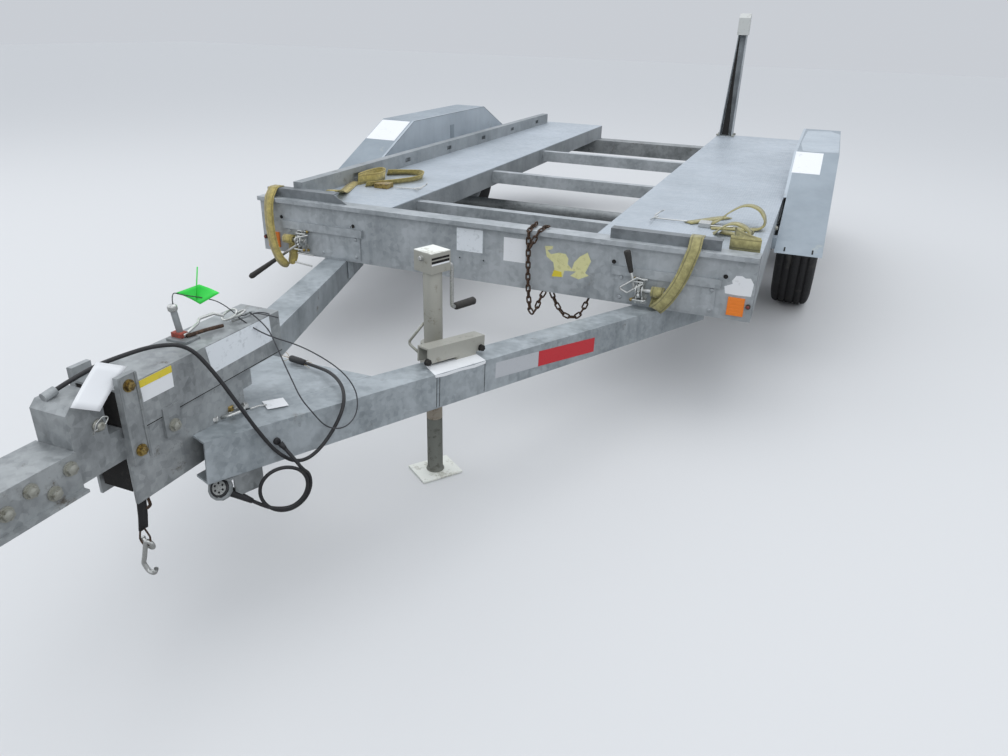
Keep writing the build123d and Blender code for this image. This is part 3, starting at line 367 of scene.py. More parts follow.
FINISH = {
    "beam": zinc_coat("beam_zinc", "b6bbbe", "8b9194", 4.0, 55.0, 0.55, dirt="77736a", cover=0.08),
    "stop": zinc_coat("stop_zinc", "83888b", "62676a", 5.0, 60.0, 0.4, dirt="68645c", cover=0.1),
    "rail": zinc_coat("rail_zinc", "b3b8bb", "858b8e", 5.0, 70.0, 0.35, dirt="77736a", cover=0.08),
    "tongue": zinc_coat(
        "tongue_zinc", "adb4b8", "7e868a", 7.0, 80.0, 0.35, dirt="6c675d", cover=0.1, patch=8.0,
    ),
    "housing": zinc_coat(
        "housing_zinc", "a7abac", "74787a", 9.0, 70.0, 0.6, dirt="5a5348", cover=0.16, patch=11.0,
    ),
    # Fender zinc darkened to paint the shade on the fenders' slopes
    "fender": zinc_coat(
        "shaded_fender_zinc", "99a3ab", "858f97", 3.0, 40.0, 0.25, dirt="b9bbaf", cover=0.08, crystal_share=0.3,
    ),
    # The same zinc made paler, painting the light on the fenders' inner sides and the sky's reflection on the
    # left fender's top
    "lit_fender_side": zinc_coat(
        "lit_fender_side_zinc", "b9c2c9", "a3acb4", 3.0, 40.0, 0.35, dirt="8d9092", cover=0.06,
        crystal_share=0.3,
    ),
    "side_rail": zinc_coat(
        "side_rail_zinc", "9da2a5", "787e81", 5.0, 70.0, 0.35, dirt="68645c", cover=0.1,
    ),
    # Darker copy of the zinc: its tone paints the shade under the deck, behind the wheels and in recesses
    # such as the plug holder; its patches are dirt
    "under": zinc_coat(
        "under_zinc_painted_shade", "999d9e", "686c6d", 8.0, 70.0, 0.3, dirt="5d564a", cover=0.2, patch=10.0,
    ),
    "sheet": tread_plate(),
    "zinc": plain("bright_zinc", "c4c5c2", 0.85, (0.22, 0.4), "84837c", 0.12, 60.0),
    "pale_zinc": plain("pale_zinc", "a3a39a", 0.6, (0.35, 0.6), "6e6a5e", 0.25, 90.0),
    "yellow_zinc": plain("yellow_zinc", "a58f55", 0.8, (0.3, 0.5), "5b4c34", 0.4, 90.0),
    "rust": plain("brown_rust", "5a4436", 0.2, (0.7, 0.95), "332820", 0.5, 120.0, 0.6, 0.0008),
    "rubber": plain("black_rubber", "222224", 0.0, (0.45, 0.7), "3a3835", 0.2, 60.0),
    "cable_black": plain("cable_black", "35363a", 0.1, (0.4, 0.6), "4a4b4e", 0.2, 90.0),
    "plastic": plain("black_plastic", "1c1d1f", 0.0, (0.35, 0.6), "2f2f2e", 0.2, 60.0),
    # Near black: painted shade in holes, slots, mouths and the post's channel, and the colour of dark seams
    # and weld lines
    "shade": plain("painted_shade_and_dark_seams", "171615", 0.0, (0.8, 0.95), "2a2723", 0.3, 60.0),
    "grip": plain("dark_grip", "34322f", 0.1, (0.5, 0.8), "1c1a18", 0.3, 120.0, 0.4),
    "brass": plain("dull_brass", "a98c48", 0.9, (0.3, 0.5), "5e5030", 0.3, 120.0),
    "vinyl": plain("white_vinyl", "e6e8ea", 0.0, (0.35, 0.5), "cfd1d2", 0.15, 25.0, 0.05),
    "aged_vinyl": plain("aged_vinyl", "dfe4e8", 0.0, (0.5, 0.7), "c3c8cc", 0.25, 60.0, 0.1),
    "yellow_vinyl": plain("yellow_vinyl", "dcc83c", 0.0, (0.4, 0.6), "c9b84a", 0.3, 40.0, 0.05),
    "torn_vinyl": plain("torn_vinyl", "d8d59e", 0.0, (0.6, 0.85), "c4c18c", 0.3, 60.0, 0.2),
    "green_tag": plain("green_tag", "35e24f", 0.0, (0.3, 0.5), "2fce49", 0.2, 20.0, 0.05),
    "red_paint": plain("red_paint", "a4483a", 0.0, (0.5, 0.8), "6b3a30", 0.4, 90.0, 0.2),
    "red_tape": plain(
        "red_tape", "c2202c", 0.0, (0.3, 0.45), "a81b26", 0.2, 160.0, 0.15, Coat_Weight=0.3,
    ),
    "white_tape": plain(
        "white_tape", "b9bcc0", 0.0, (0.3, 0.45), "aaadb1", 0.2, 160.0, 0.15, Coat_Weight=0.3,
    ),
    "amber": plain("amber_lens", "ee8222", 0.0, (0.2, 0.35), "d9701c", 0.2, 90.0, 0.1, Coat_Weight=0.4),
    "red_lens": plain("red_lens", "7c2a26", 0.0, (0.25, 0.4), "5d1c1a", 0.3, 90.0, 0.1, Coat_Weight=0.4),
    "pale_cap": plain("pale_cap", "c3c5c2", 0.0, (0.5, 0.7), "a5a6a0", 0.25, 30.0),
    "tyre": plain("tyre_rubber", "2a2a2b", 0.0, (0.6, 0.85), "45433f", 0.2, 14.0, 0.35),
    "rim": zinc_coat(
        "rim_silver", "b4b8ba", "8a8e90", 8.0, 60.0, 0.2, dirt="5d564a", cover=0.2, patch=12.0,
    ),
    "jack_grey": plain("jack_grey", "a9a89f", 0.4, (0.35, 0.55), "8b887c", 0.2, 22.0),
    "jack_pale": plain("jack_pale", "e9ebe4", 0.1, (0.5, 0.75), "b9b8ac", 0.3, 18.0),
    "jack_leg": plain("jack_leg_grey", "74766f", 0.5, (0.35, 0.6), "56564e", 0.3, 26.0),
    "jack_stained": plain("jack_stained", "a39a8c", 0.3, (0.45, 0.7), "7c6f60", 0.35, 30.0),
    "webbing": webbing_cloth("olive_webbing", "b5ad78", "8b8557", "6d6845"),
    "new_webbing": webbing_cloth("yellow_webbing", "c4b36c", "97894e", "776a3b"),
}


def coat(name, finish):
    """Gives a CAD node its finish."""
    slots = NODES[name].data.materials
    slots.clear()
    slots.append(FINISH[finish])


for names, finish in (
    ("front_beam", "beam"),
    ("wheel_stops", "stop"),
    ("deck_left deck_right", "sheet"),
    ("outer_rail_left outer_rail_right rear_guide_post cross_members", "rail"),
    ("inner_rail_left inner_rail_right guard_rail", "side_rail"),
    # Parts under the deck and the recessed plug holder take the darker zinc that paints their shade
    ("rear_beam axles suspension_left suspension_right tongue_hangers plug_holder", "under"),
    ("tongue_rail_left tongue_rail_right nose_plate", "tongue"),
    ("actuator_case actuator_housing actuator_slide coupler", "housing"),
    ("coupler_latch jack_crank breakaway_lever ratchet_left ratchet_right", "zinc"),
    ("fender_left fender_right", "fender"),
    ("jack_tube jack_bracket jack_leg", "jack_grey"),
    ("guide_post_cap", "pale_cap"),
    ("front_reflectors", "amber"),
    ("rear_lamps wiring_plug cable_grommet", "plastic"),
    ("hose_fitting", "brass"),
    ("safety_chain", "rust"),
    ("strap_left strap_right spare_strap_left spare_strap_right", "webbing"),
    ("wiring_cable wiring_coil wiring_lead brake_hose", "rubber"),
    ("tyre_front_left tyre_front_right tyre_rear_left tyre_rear_right", "tyre"),
    ("wheel_front_left wheel_front_right wheel_rear_left wheel_rear_right", "rim"),
):
    for name in names.split():
        coat(name, finish)


# Shapes
def sorted_corners(a, b):
    """The lowest and the highest corner of a block between two places."""
    return Vector(map(min, a, b)), Vector(map(max, a, b))


class Shape:
    """A mesh built from simple solids, in metres, its object at the origin."""

    def __init__(self, name, *finishes):
        self.name = name
        self.mesh = bmesh.new()
        self.finishes = finishes
        self.flat = self.mesh.loops.layers.uv.new("ribbon")

    def skin(self, rings, finish=0, smooth=True, closed=True, caps=True):
        """Joins rings of points, each a list of the same length, into one skin with closed ends."""
        rows = [[self.mesh.verts.new(p) for p in ring] for ring in rings]
        count = len(rows[0])
        steps = count if closed else count - 1
        for near, far in zip(rows, rows[1:]):
            for i in range(steps):
                j = (i + 1) % count
                face = self.mesh.faces.new((near[i], near[j], far[j], far[i]))
                face.smooth = smooth
                face.material_index = finish
        if caps:
            for row in (rows[0][::-1], rows[-1]):
                self.mesh.faces.new(row).material_index = finish
        return rows

    def box(self, low, high, finish=0, turn=None):
        """A block between any two opposite corners; turn is (centre, rotation) in the trailer's frame."""
        low, high = sorted_corners(low, high)
        corners = [
            Vector((x, y, z)) for z in (low[2], high[2]) for y in (low[1], high[1]) for x in (low[0], high[0])
        ]
        if turn:
            centre, rotation = turn
            corners = [centre + rotation @ (c - centre) for c in corners]
        points = [self.mesh.verts.new(c) for c in corners]
        for face in ((0, 2, 3, 1), (4, 5, 7, 6), (0, 1, 5, 4), (2, 6, 7, 3), (0, 4, 6, 2), (1, 3, 7, 5)):
            self.mesh.faces.new([points[i] for i in face]).material_index = finish

    def plate(self, outline, away, finish=0):
        """A flat plate: its outline's points, and the vector that its thickness goes along."""
        near = [self.mesh.verts.new(p) for p in outline]
        far = [self.mesh.verts.new(Vector(p) + away) for p in outline]
        count = len(near)
        for i in range(count):
            j = (i + 1) % count
            self.mesh.faces.new((near[i], near[j], far[j], far[i])).material_index = finish
        self.mesh.faces.new(near[::-1]).material_index = finish
        self.mesh.faces.new(far).material_index = finish

    def round(self, start, way, profile, sides=24, finish=0, smooth=True):
        """A turned piece: profile is a list of (distance along, radius) from start along way."""
        way = Vector(way).normalized()
        side = way.orthogonal().normalized()
        other = way.cross(side)
        rings = []
        for along, radius in profile:
            middle = Vector(start) + way * along
            rings.append(
                [
                    middle + (side * math.cos(a) + other * math.sin(a)) * max(radius, 1e-5)
                    for a in (2 * math.pi * i / sides for i in range(sides))
                ]
            )
        return self.skin(rings, finish, smooth)

    def rod(self, points, radius, sides=12, finish=0, ends=True):
        """A round bar along points; radius is one value or one for each point."""
        points = [Vector(p) for p in points]
        radii = radius if hasattr(radius, "__len__") else [radius] * len(points)
        heading = (points[1] - points[0]).normalized()
        side = heading.orthogonal().normalized()
        rings = []
        for i, place in enumerate(points):
            before = points[max(i - 1, 0)]
            after = points[min(i + 1, len(points) - 1)]
            heading = (after - before).normalized()
            side = (side - heading * side.dot(heading)).normalized()
            other = heading.cross(side)
            rings.append(
                [
                    place + (side * math.cos(a) + other * math.sin(a)) * radii[i]
                    for a in (2 * math.pi * k / sides for k in range(sides))
                ]
            )
        return self.skin(rings, finish, True, True, ends)

    def bolt(self, place, way, size, finish=0, washer=1.45, shank=0.0, turn=0.0):
        """A hexagon head on a washer, its back at place, facing way; size is across its flats."""
        place, way = Vector(place), Vector(way).normalized()
        side = way.orthogonal().normalized()
        other = way.cross(side)
        if washer:
            self.round(
                place, way, [(0, size * washer / 2), (size * 0.12, size * washer / 2)], 20, finish, False,
            )
        base = size * 0.12 if washer else 0
        reach = size / math.sqrt(3)
        rings = []
        for along, share in ((base, 1.0), (base + size * 0.5, 1.0), (base + size * 0.62, 0.86)):
            rings.append(
                [
                    place + way * along + (side * math.cos(a) + other * math.sin(a)) * reach * share
                    for a in (turn + math.pi / 3 * i for i in range(6))
                ]
            )
        self.skin(rings, finish, False)
        if shank:
            self.round(
                place + way * (base + size * 0.62),
                way,
                [(0, size * 0.3), (shank, size * 0.3), (shank * 1.1, size * 0.22)],
                12,
                finish,
            )

    def ribbon(self, points, across, width, thickness, finish=0, start=0.0):
        """Webbing along points: across is the direction of its width at every point, or one for all."""
        points = [Vector(p) for p in points]
        sides = across if hasattr(across[0], "__len__") else [across] * len(points)
        run = start
        rows = []
        lengths = []
        for i, place in enumerate(points):
            before, after = points[max(i - 1, 0)], points[min(i + 1, len(points) - 1)]
            heading = (after - before).normalized()
            side = Vector(sides[i])
            side = (side - heading * side.dot(heading)).normalized()
            normal = heading.cross(side)
            if i:
                run += (place - points[i - 1]).length
            lengths.append(run)
            half, rise = side * width / 2, normal * thickness / 2
            rows.append(
                [
                    self.mesh.verts.new(p)
                    for p in (
                        place - half + rise, place + half + rise, place + half - rise,
                        place - half - rise,
                    )
                ]
            )
        for i in range(len(rows) - 1):
            near, far = rows[i], rows[i + 1]
            for k in range(4):
                j = (k + 1) % 4
                face = self.mesh.faces.new((near[k], near[j], far[j], far[k]))
                face.material_index = finish
                face.smooth = k in (0, 2)
                edge = {0: (0.0, width), 1: (width, width), 2: (width, 0.0), 3: (0.0, 0.0)}[k]
                for loop, u, v in zip(
                    face.loops, (edge[0], edge[1], edge[1], edge[0]),
                    (lengths[i],) * 2 + (lengths[i + 1],) * 2,
                ):
                    loop[self.flat].uv = (u, v)
        self.mesh.faces.new(rows[0][::-1]).material_index = finish
        self.mesh.faces.new(rows[-1]).material_index = finish
        return run - start

    def done(self, body="frame", replaces=(), bevel=0.0, angle=35):
        """Closes the mesh, gives it its finishes and lets it ride on its body."""
        bmesh.ops.recalc_face_normals(self.mesh, faces=self.mesh.faces)
        data = bpy.data.meshes.new(self.name)
        self.mesh.to_mesh(data)
        self.mesh.free()
        made = bpy.data.objects.new(self.name, data)
        for finish in self.finishes:
            data.materials.append(FINISH[finish])
        bpy.context.scene.collection.objects.link(made)
        if bevel:
            edges = made.modifiers.new("edges", "BEVEL")
            edges.width = bevel
            edges.segments = 2
            edges.limit_method = "ANGLE"
            edges.angle_limit = math.radians(angle)
            edges.harden_normals = False
        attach(made, body)
        if replaces:
            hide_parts(*replaces)
        return made


def bent(points, radius, steps=6):
    """Points with each corner rounded by an arc of the radius, or less where a run is short."""
    points = [Vector(p) for p in points]
    made = [points[0]]
    for before, corner, after in zip(points, points[1:], points[2:]):
        back, on = (before - corner), (after - corner)
        angle = back.angle(on)
        if angle > math.radians(176):
            made.append(corner)
            continue
        reach = min(radius / math.tan(angle / 2), back.length * 0.45, on.length * 0.45)
        first, last = corner + back.normalized() * reach, corner + on.normalized() * reach
        for i in range(steps + 1):
            t = i / steps
            made.append(first * (1 - t) ** 2 + corner * 2 * t * (1 - t) + last * t * t)
    made.append(points[-1])
    return made


def spline(name, points, radius, finish):
    """A cord's curve: one NURBS spline with these points as its control points."""
    data = bpy.data.curves.new(name, "CURVE")
    data.dimensions = "3D"
    line = data.splines.new("NURBS")
    line.points.add(len(points) - 1)
    for point, place in zip(line.points, points):
        point.co = (*place, 1.0)
    line.order_u = 3
    line.use_endpoint_u = True
    line.resolution_u = 10
    data.bevel_depth = radius
    data.bevel_resolution = 4
    data.use_fill_caps = True
    data.materials.append(FINISH[finish])
    made = bpy.data.objects.new(name, data)
    bpy.context.scene.collection.objects.link(made)
    return made


def route_of(points, per=10):
    """The points that a cord's NURBS spline passes, read from the curve itself."""
    made = spline("route", points, 0.0, "rubber")
    made.data.splines[0].resolution_u = per
    plain_mesh = bpy.data.meshes.new_from_object(made)
    line = [v.co.copy() for v in plain_mesh.vertices]
    bpy.data.objects.remove(made)
    return line


# Cords
def cord_length(points):
    """Length of a cord along its curve, in metres."""
    line = route_of(points)
    return sum((b - a).length for a, b in zip(line, line[1:]))


def plug_shell():
    """Round plug in its holder with six contacts, and the tapered boot on its cable."""
    plug = Shape("wiring_plug_shell", "plastic", "zinc", "rubber")
    face = Vector((0.15, -0.8, 0.58)).normalized()
    centre = at(93, -1662, 390)
    plug.round(
        centre,
        -face,
        [(0, 0.0185), (0.0, 0.0215), (0.004, 0.0219), (0.018, 0.0219), (0.0215, 0.0175), (0.030, 0.0155)],
        40,
        0,
    )
    plug.round(centre + face * 0.0006, -face, [(0, 0.0165), (0.002, 0.0165)], 32, 1)
    side = face.orthogonal().normalized()
    other = face.cross(side)
    for i in range(6):
        angle = math.pi / 3 * i
        spot = centre + (side * math.cos(angle) + other * math.sin(angle)) * 0.0105
        plug.round(spot + face * 0.0012, -face, [(0, 0.0026), (0.002, 0.0026)], 12, 2)
    boot = centre - face * 0.020
    way = at(133, -1607, 332) - boot
    reach = way.length
    plug.round(
        boot,
        way,
        [
            (0, 0.0125), (reach * 0.2, 0.0120), (reach * 0.45, 0.0098), (reach * 0.8, 0.0075),
            (reach, 0.0062),
        ],
        28,
        2,
    )
    return plug.done(replaces=["wiring_plug"])


def wiring():
    """Wiring cable: out of the grommet, round the loose coil and on to the plug's boot."""
    centre = at(190, -1557, 352)
    heading = Vector((0.66, 0.75, 0)).normalized()
    normal = Vector((heading.y, -heading.x, 0))
    up = Vector((0, 0, 1))
    points = places((182, -1533, 446), (204, -1528, 418), (219, -1524, 394))
    per_turn = 14
    start = math.radians(48)
    for i in range(1, 21):
        share = i / per_turn
        angle = start - share * 2 * math.pi
        radius = 0.0635 - 0.0085 * share + 0.001 * math.sin(3 * angle)
        shift = -0.0045 + 0.004 * share
        points.append(
            centre + heading * math.cos(angle) * radius + up * math.sin(angle) * radius * 1.04
            + normal * shift
        )
    points += places((164, -1587, 309), (145.4, -1595.2, 318.2), (133, -1607, 332))
    cable = spline("wiring_cable_run", points, 0.0043, "rubber")
    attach(cable, "frame")
    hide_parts("wiring_cable", "wiring_coil", "wiring_lead")
    cord_length(points)
    plug_shell()


def hose():
    """Brake hose: from the gland over the housing, down past the rail and up to its fitting."""
    points = places(
        (-16, -1908, 721), (-12, -1836, 735), (0, -1768, 738), (22, -1702, 740), (60, -1652, 730),
        (98, -1628, 662), (133, -1606, 578), (157, -1582, 505), (173, -1550, 440), (190, -1510, 397),
        (208, -1466, 394), (226, -1414, 430), (242, -1377, 486), (222, -1338, 510), (178, -1290, 512),
        (115, -1240, 505), (50, -1205, 493.6), (-8, -1195, 493.6),
    )
    run = spline("brake_hose_run", points, 0.0045, "rubber")
    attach(run, "frame")
    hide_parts("brake_hose")
    cord_length(points)


wiring()
hose()


# Wheels and tyres
WHEEL_Z = 0.343
AXLES = (("front", 1.550 + BEAM_Y), ("rear", 2.410 + BEAM_Y))
# Distance from the tyre's middle and radius, from bead to bead over the tread
TYRE_PROFILE = (
    (-0.070, 0.1975), (-0.079, 0.206), (-0.090, 0.226), (-0.0975, 0.252), (-0.0995, 0.272),
    (-0.0985, 0.292), (-0.0945, 0.312), (-0.0885, 0.328), (-0.080, 0.3375), (-0.070, 0.3405),
    (-0.0615, 0.3415), (-0.0595, 0.3345), (-0.0535, 0.3345), (-0.0515, 0.342), (-0.0265, 0.3428),
    (-0.0245, 0.3355), (-0.0185, 0.3355), (-0.0165, 0.343),
)
RIM_PROFILE = (
    (-0.076, 0.1965), (-0.0765, 0.2015), (-0.0735, 0.2035), (-0.070, 0.1975), (-0.066, 0.1895),
    (-0.046, 0.1865), (-0.034, 0.168), (0.018, 0.166), (0.034, 0.1865), (0.062, 0.1895), (0.068, 0.1975),
    (0.0735, 0.2035), (0.0765, 0.2015), (0.076, 0.1965), (0.071, 0.191), (0.064, 0.184), (0.036, 0.180),
    (0.022, 0.160),
)


def tyres_and_wheels():
    sides = 132
    for where, y in AXLES:
        for side, sign in (("left", 1), ("right", -1)):
            middle = Vector((sign * 1.190, y, WHEEL_Z))
            body = f"wheel_{where}_{side}_set"
            profile = list(TYRE_PROFILE) + [(-x, r) for x, r in TYRE_PROFILE[::-1]]
            inner = [(0.066, 0.1985), (0.074, 0.215), (0.086, 0.262), (0.084, 0.305), (0.0, 0.326)]
            inner += [(-x, r) for x, r in inner[-2::-1]]
            tyre = Shape(f"tyre_{where}_{side}_tread", "tyre")
            rows = []
            for i in range(sides):
                angle = 2 * math.pi * i / sides
                cut = 0.0035 if i % 3 == 0 else 0.0
                ring = []
                for k, (x, r) in enumerate(profile + inner):
                    edge = 0.055 < abs(x) < 0.09 and r > 0.335 and k < len(profile)
                    radius = r - (cut if edge else 0.0)
                    ring.append(
                        middle + Vector((x * sign, math.cos(angle) * radius, math.sin(angle) * radius))
                    )
                rows.append([tyre.mesh.verts.new(p) for p in ring])
            count = len(rows[0])
            for i in range(sides):
                near, far = rows[i], rows[(i + 1) % sides]
                for k in range(count):
                    j = (k + 1) % count
                    tyre.mesh.faces.new((near[k], near[j], far[j], far[k])).smooth = True
            tyre.done(body, [f"tyre_{where}_{side}"])
            rim(f"wheel_{where}_{side}_rim", middle, sign, body, f"wheel_{where}_{side}")


def rim(name, middle, sign, body, node):
    """A steel disc wheel: dropped-centre rim, dished disc with hand holes, hub cap and nuts."""
    made = Shape(name, "rim", "zinc", "under")
    way = Vector((sign, 0, 0))
    sides = 72
    rings = []
    profile = list(RIM_PROFILE) + [(-0.030, 0.160), (-0.064, 0.184), (-0.071, 0.191)]
    rows = []
    for i in range(sides):
        angle = 2 * math.pi * i / sides
        rows.append(
            [
                made.mesh.verts.new(middle + Vector((x * sign, math.cos(angle) * r, math.sin(angle) * r)))
                for x, r in profile
            ]
        )
    count = len(profile)
    for i in range(sides):
        near, far = rows[i], rows[(i + 1) % sides]
        for k in range(count):
            j = (k + 1) % count
            made.mesh.faces.new((near[k], near[j], far[j], far[k])).smooth = True
    # The disc's bands from its edge to the hub; hand holes are left out of the second band
    bands = (
        (0.012, 0.165), (0.026, 0.148), (0.030, 0.118), (0.020, 0.092), (0.030, 0.078), (0.033, 0.050),
        (0.033, 0.034),
    )
    for depth, flip in ((0.0, False), (-0.005, True)):
        rings = [
            [
                middle + Vector(((x + depth) * sign, math.cos(a) * r, math.sin(a) * r))
                for a in (2 * math.pi * i / sides for i in range(sides))
            ]
            for x, r in bands
        ]
        verts = [[made.mesh.verts.new(p) for p in ring] for ring in rings]
        if flip:
            back = verts
        else:
            front = verts
    for b in range(len(bands) - 1):
        for i in range(sides):
            j = (i + 1) % sides
            hole = b == 1 and i % 9 in (2, 3, 4, 5)
            if hole:
                continue
            for ring_set in (front, back):
                made.mesh.faces.new(
                    (ring_set[b][i], ring_set[b][j], ring_set[b + 1][j], ring_set[b + 1][i])
                ).smooth = True
            if b == 1:
                for edge in (i, j):
                    if (i - 1) % 9 in (2, 3, 4, 5) and edge == i or (i + 1) % 9 in (2, 3, 4, 5) and edge == j:
                        made.mesh.faces.new((front[1][edge], back[1][edge], back[2][edge], front[2][edge]))
    for b in (1, 2):
        for i in range(sides):
            if i % 9 in (2, 3, 4, 5):
                j = (i + 1) % sides
                made.mesh.faces.new((front[b][i], front[b][j], back[b][j], back[b][i]))
    for b in (0, len(bands) - 1):
        for i in range(sides):
            j = (i + 1) % sides
            made.mesh.faces.new((front[b][i], front[b][j], back[b][j], back[b][i]))
    for i in range(5):
        angle = 2 * math.pi * (i + 0.25) / 5
        place = middle + Vector((0.030 * sign, math.cos(angle) * 0.057, math.sin(angle) * 0.057))
        made.bolt(place, way, 0.019, 1, washer=1.3)
    made.round(
        middle + way * 0.024,
        way,
        [
            (0, 0.033), (0.012, 0.033), (0.030, 0.030), (0.036, 0.026), (0.044, 0.025), (0.047, 0.018),
            (0.048, 0.0),
        ],
        36,
        1,
    )
    made.round(
        middle - way * 0.072,
        way,
        [(0, 0.100), (0.004, 0.118), (0.050, 0.122), (0.066, 0.112), (0.094, 0.095)],
        48,
        2,
    )
    made.done(body, [node])


tyres_and_wheels()


# Webbing
STRAP_WIDTH = 0.048
SPOOL = (-36, 455)  # the ratchets' spools: y behind the beam's face, and z


def ribbon_sheet(
    name, points, across, replaced=(), finish="webbing", thickness=0.0024,
):
    """A length of webbing along points in millimetres."""
    made = Shape(name, finish)
    sides = across if hasattr(across[0], "__len__") else [across] * len(points)
    length = made.ribbon(places(*points), sides, STRAP_WIDTH, thickness)
    piece = made.done(replaces=replaced)
    return piece


def smooth_run(points, per=6):
    """Points in millimetres carried along a soft curve through the middles of their runs."""
    made = [Vector(points[0])]
    for before, corner, after in zip(points, points[1:], points[2:]):
        before, corner, after = Vector(before), Vector(corner), Vector(after)
        first = before if before == Vector(points[0]) else (before + corner) / 2
        last = after if after == Vector(points[-1]) else (corner + after) / 2
        for i in range(1, per + 1):
            t = i / per
            made.append(first * (1 - t) ** 2 + corner * 2 * t * (1 - t) + last * t * t)
    return made


def winch_strap(side, sign, strap_x, roll_x, hang):
    """From the wheel stop's lip over the beam's edge, down with some slack, and up round its spool."""
    points = [(sign * strap_x, y, z) for y, z in ((60, 665.2), (24, 665.6), (13, 664.4), (-8, 641))]
    sides = [(1, 0, 0)] * len(points)
    run = smooth_run([(x, y, z) for x, y, z, turn in hang])
    turns = smooth_run([(turn, 0, 0) for x, y, z, turn in hang])
    for place, turn in zip(run, turns):
        angle = math.radians(turn.x)
        points.append((sign * place.x, place.y, place.z))
        sides.append((math.cos(angle), 0, -sign * math.sin(angle)))
    steps = 20
    for i in range(10, 68):
        angle = 2 * math.pi * i / steps
        radius = 21.5 - 2.9 * i / steps
        points.append(
            (sign * roll_x, SPOOL[0] - radius * math.cos(angle), SPOOL[1] - radius * math.sin(angle))
        )
        sides.append((1, 0, 0))
    ribbon_sheet(
        f"strap_{side}_webbing", points, sides, [f"strap_{side}"],
        "webbing" if side == "left" else "new_webbing",
    )


# Middle of each hanging part: x, y, z in millimetres and its turn in degrees
winch_strap(
    "left",
    1,
    850,
    740,
    (
        (850, -19, 629, 0), (843, -32, 600, 7), (833, -43, 560, 13), (820, -52, 520, 19),
        (802, -60, 478, 28), (780, -64, 440, 38), (758, -64, 410, 42), (742, -54, 394, 32),
        (736, -38, 390, 14), (737, -20, 402, 2), (740, -14, 425, 0), (740, -14, 452, 0),
    ),
)
winch_strap(
    "right",
    -1,
    1012,
    914,
    (
        (1012, -19, 629, 0), (1010, -32, 600, 3), (1006, -43, 550, 6), (998, -52, 490, 12),
        (984, -60, 430, 22), (964, -64, 384, 34), (944, -62, 352, 42), (922, -52, 340, 34),
        (910, -36, 348, 14), (908, -20, 380, 2), (912, -14, 425, 0), (914, -14, 452, 0),
    ),
)


def spare_straps():
    """The straps that lie folded on the runways, with their rods and wire hooks."""
    up, back = (0, 0, 1), (0.1, 1, 0.05)
    ribbon_sheet(
        "spare_strap_left_arch",
        smooth_run(
            [
                (812, 408, 621), (860, 455, 626), (905, 500, 668), (965, 528, 702), (1030, 500, 690),
                (1056, 455, 640), (1020, 420, 621), (900, 395, 624), (850, 380, 622),
            ]
        ),
        back,
        ["spare_strap_left"],
    )
    ribbon_sheet(
        "spare_strap_left_loop",
        smooth_run(
            [
                (880, 330, 624), (888, 300, 628), (905, 262, 655), (948, 245, 684), (1000, 250, 668),
                (1024, 262, 632), (985, 300, 622), (900, 310, 627),
            ]
        ),
        back,
        (),
    )
    ribbon_sheet(
        "spare_strap_left_fold",
        smooth_run(
            [
                (962, 86, 643), (1062, 84, 643), (1072, 89, 643), (1062, 94, 643), (966, 96, 643),
                (958, 101, 643), (966, 106, 643), (1060, 104, 643), (1068, 110, 643), (1050, 118, 643),
                (985, 190, 643), (960, 240, 643),
            ],
            5,
        ),
        up,
        (),
    )
    ribbon_sheet(
        "spare_strap_left_tail",
        smooth_run([(890, 610, 621), (850, 560, 622), (800, 480, 623), (750, 420, 622)]),
        (1, -0.6, 0.02), (),
    )
    ribbon_sheet(
        "spare_strap_right_end",
        smooth_run(
            [
                (-745, 66, 666), (-752, 120, 664), (-790, 215, 624), (-830, 320, 621.5), (-868, 420, 622),
                (-880, 480, 626),
            ]
        ),
        (1, 0.3, 0),
        ["spare_strap_right"],
        "new_webbing",
    )
    ribbon_sheet(
        "spare_strap_right_loop",
        smooth_run(
            [
                (-862, 470, 644), (-880, 560, 643), (-862, 690, 645), (-800, 640, 644), (-790, 545, 643),
                (-838, 478, 643), (-842, 440, 642),
            ]
        ),
        (0.12, 0, 1),
        (),
        "new_webbing",
    )
    ribbon_sheet(
        "spare_strap_right_lap",
        smooth_run(
            [
                (-845, 720, 634), (-780, 800, 630), (-690, 805, 628), (-640, 730, 629), (-650, 640, 628),
                (-720, 520, 627), (-790, 420, 626),
            ]
        ),
        (0.5, -0.5, 0.75),
        (),
        "new_webbing",
    )
    gear = Shape("strap_rods_and_hooks", "zinc", "yellow_zinc", "grip")
    for points, radius in (
        ([(748, 424, 627), (690, 420, 626), (612, 424, 625)], 3.2),
        ([(612, 424, 625), (604, 470, 627), (622, 492, 640), (640, 470, 652)], 3.0),
        ([(612, 424, 625), (604, 380, 627), (618, 345, 640), (640, 352, 652)], 3.0),
        ([(844, 392, 626), (900, 402, 626), (934, 410, 628)], 3.5),
        ([(-640, 448, 625), (-590, 456, 625), (-552, 462, 625)], 3.2),
        ([(-552, 462, 625), (-530, 500, 627), (-512, 520, 638), (-500, 500, 650)], 3.2),
        ([(-552, 462, 625), (-520, 440, 627), (-496, 428, 636), (-490, 446, 648)], 3.2),
    ):
        gear.rod(bent(places(*points), 0.012), radius / 1000, 10, 0)
    gear.box(at(800, 380, 619), at(848, 440, 636), 0)
    gear.box(at(-742, 418, 619), at(-672, 480, 640), 1)
    gear.done(bevel=0.002)


spare_straps()


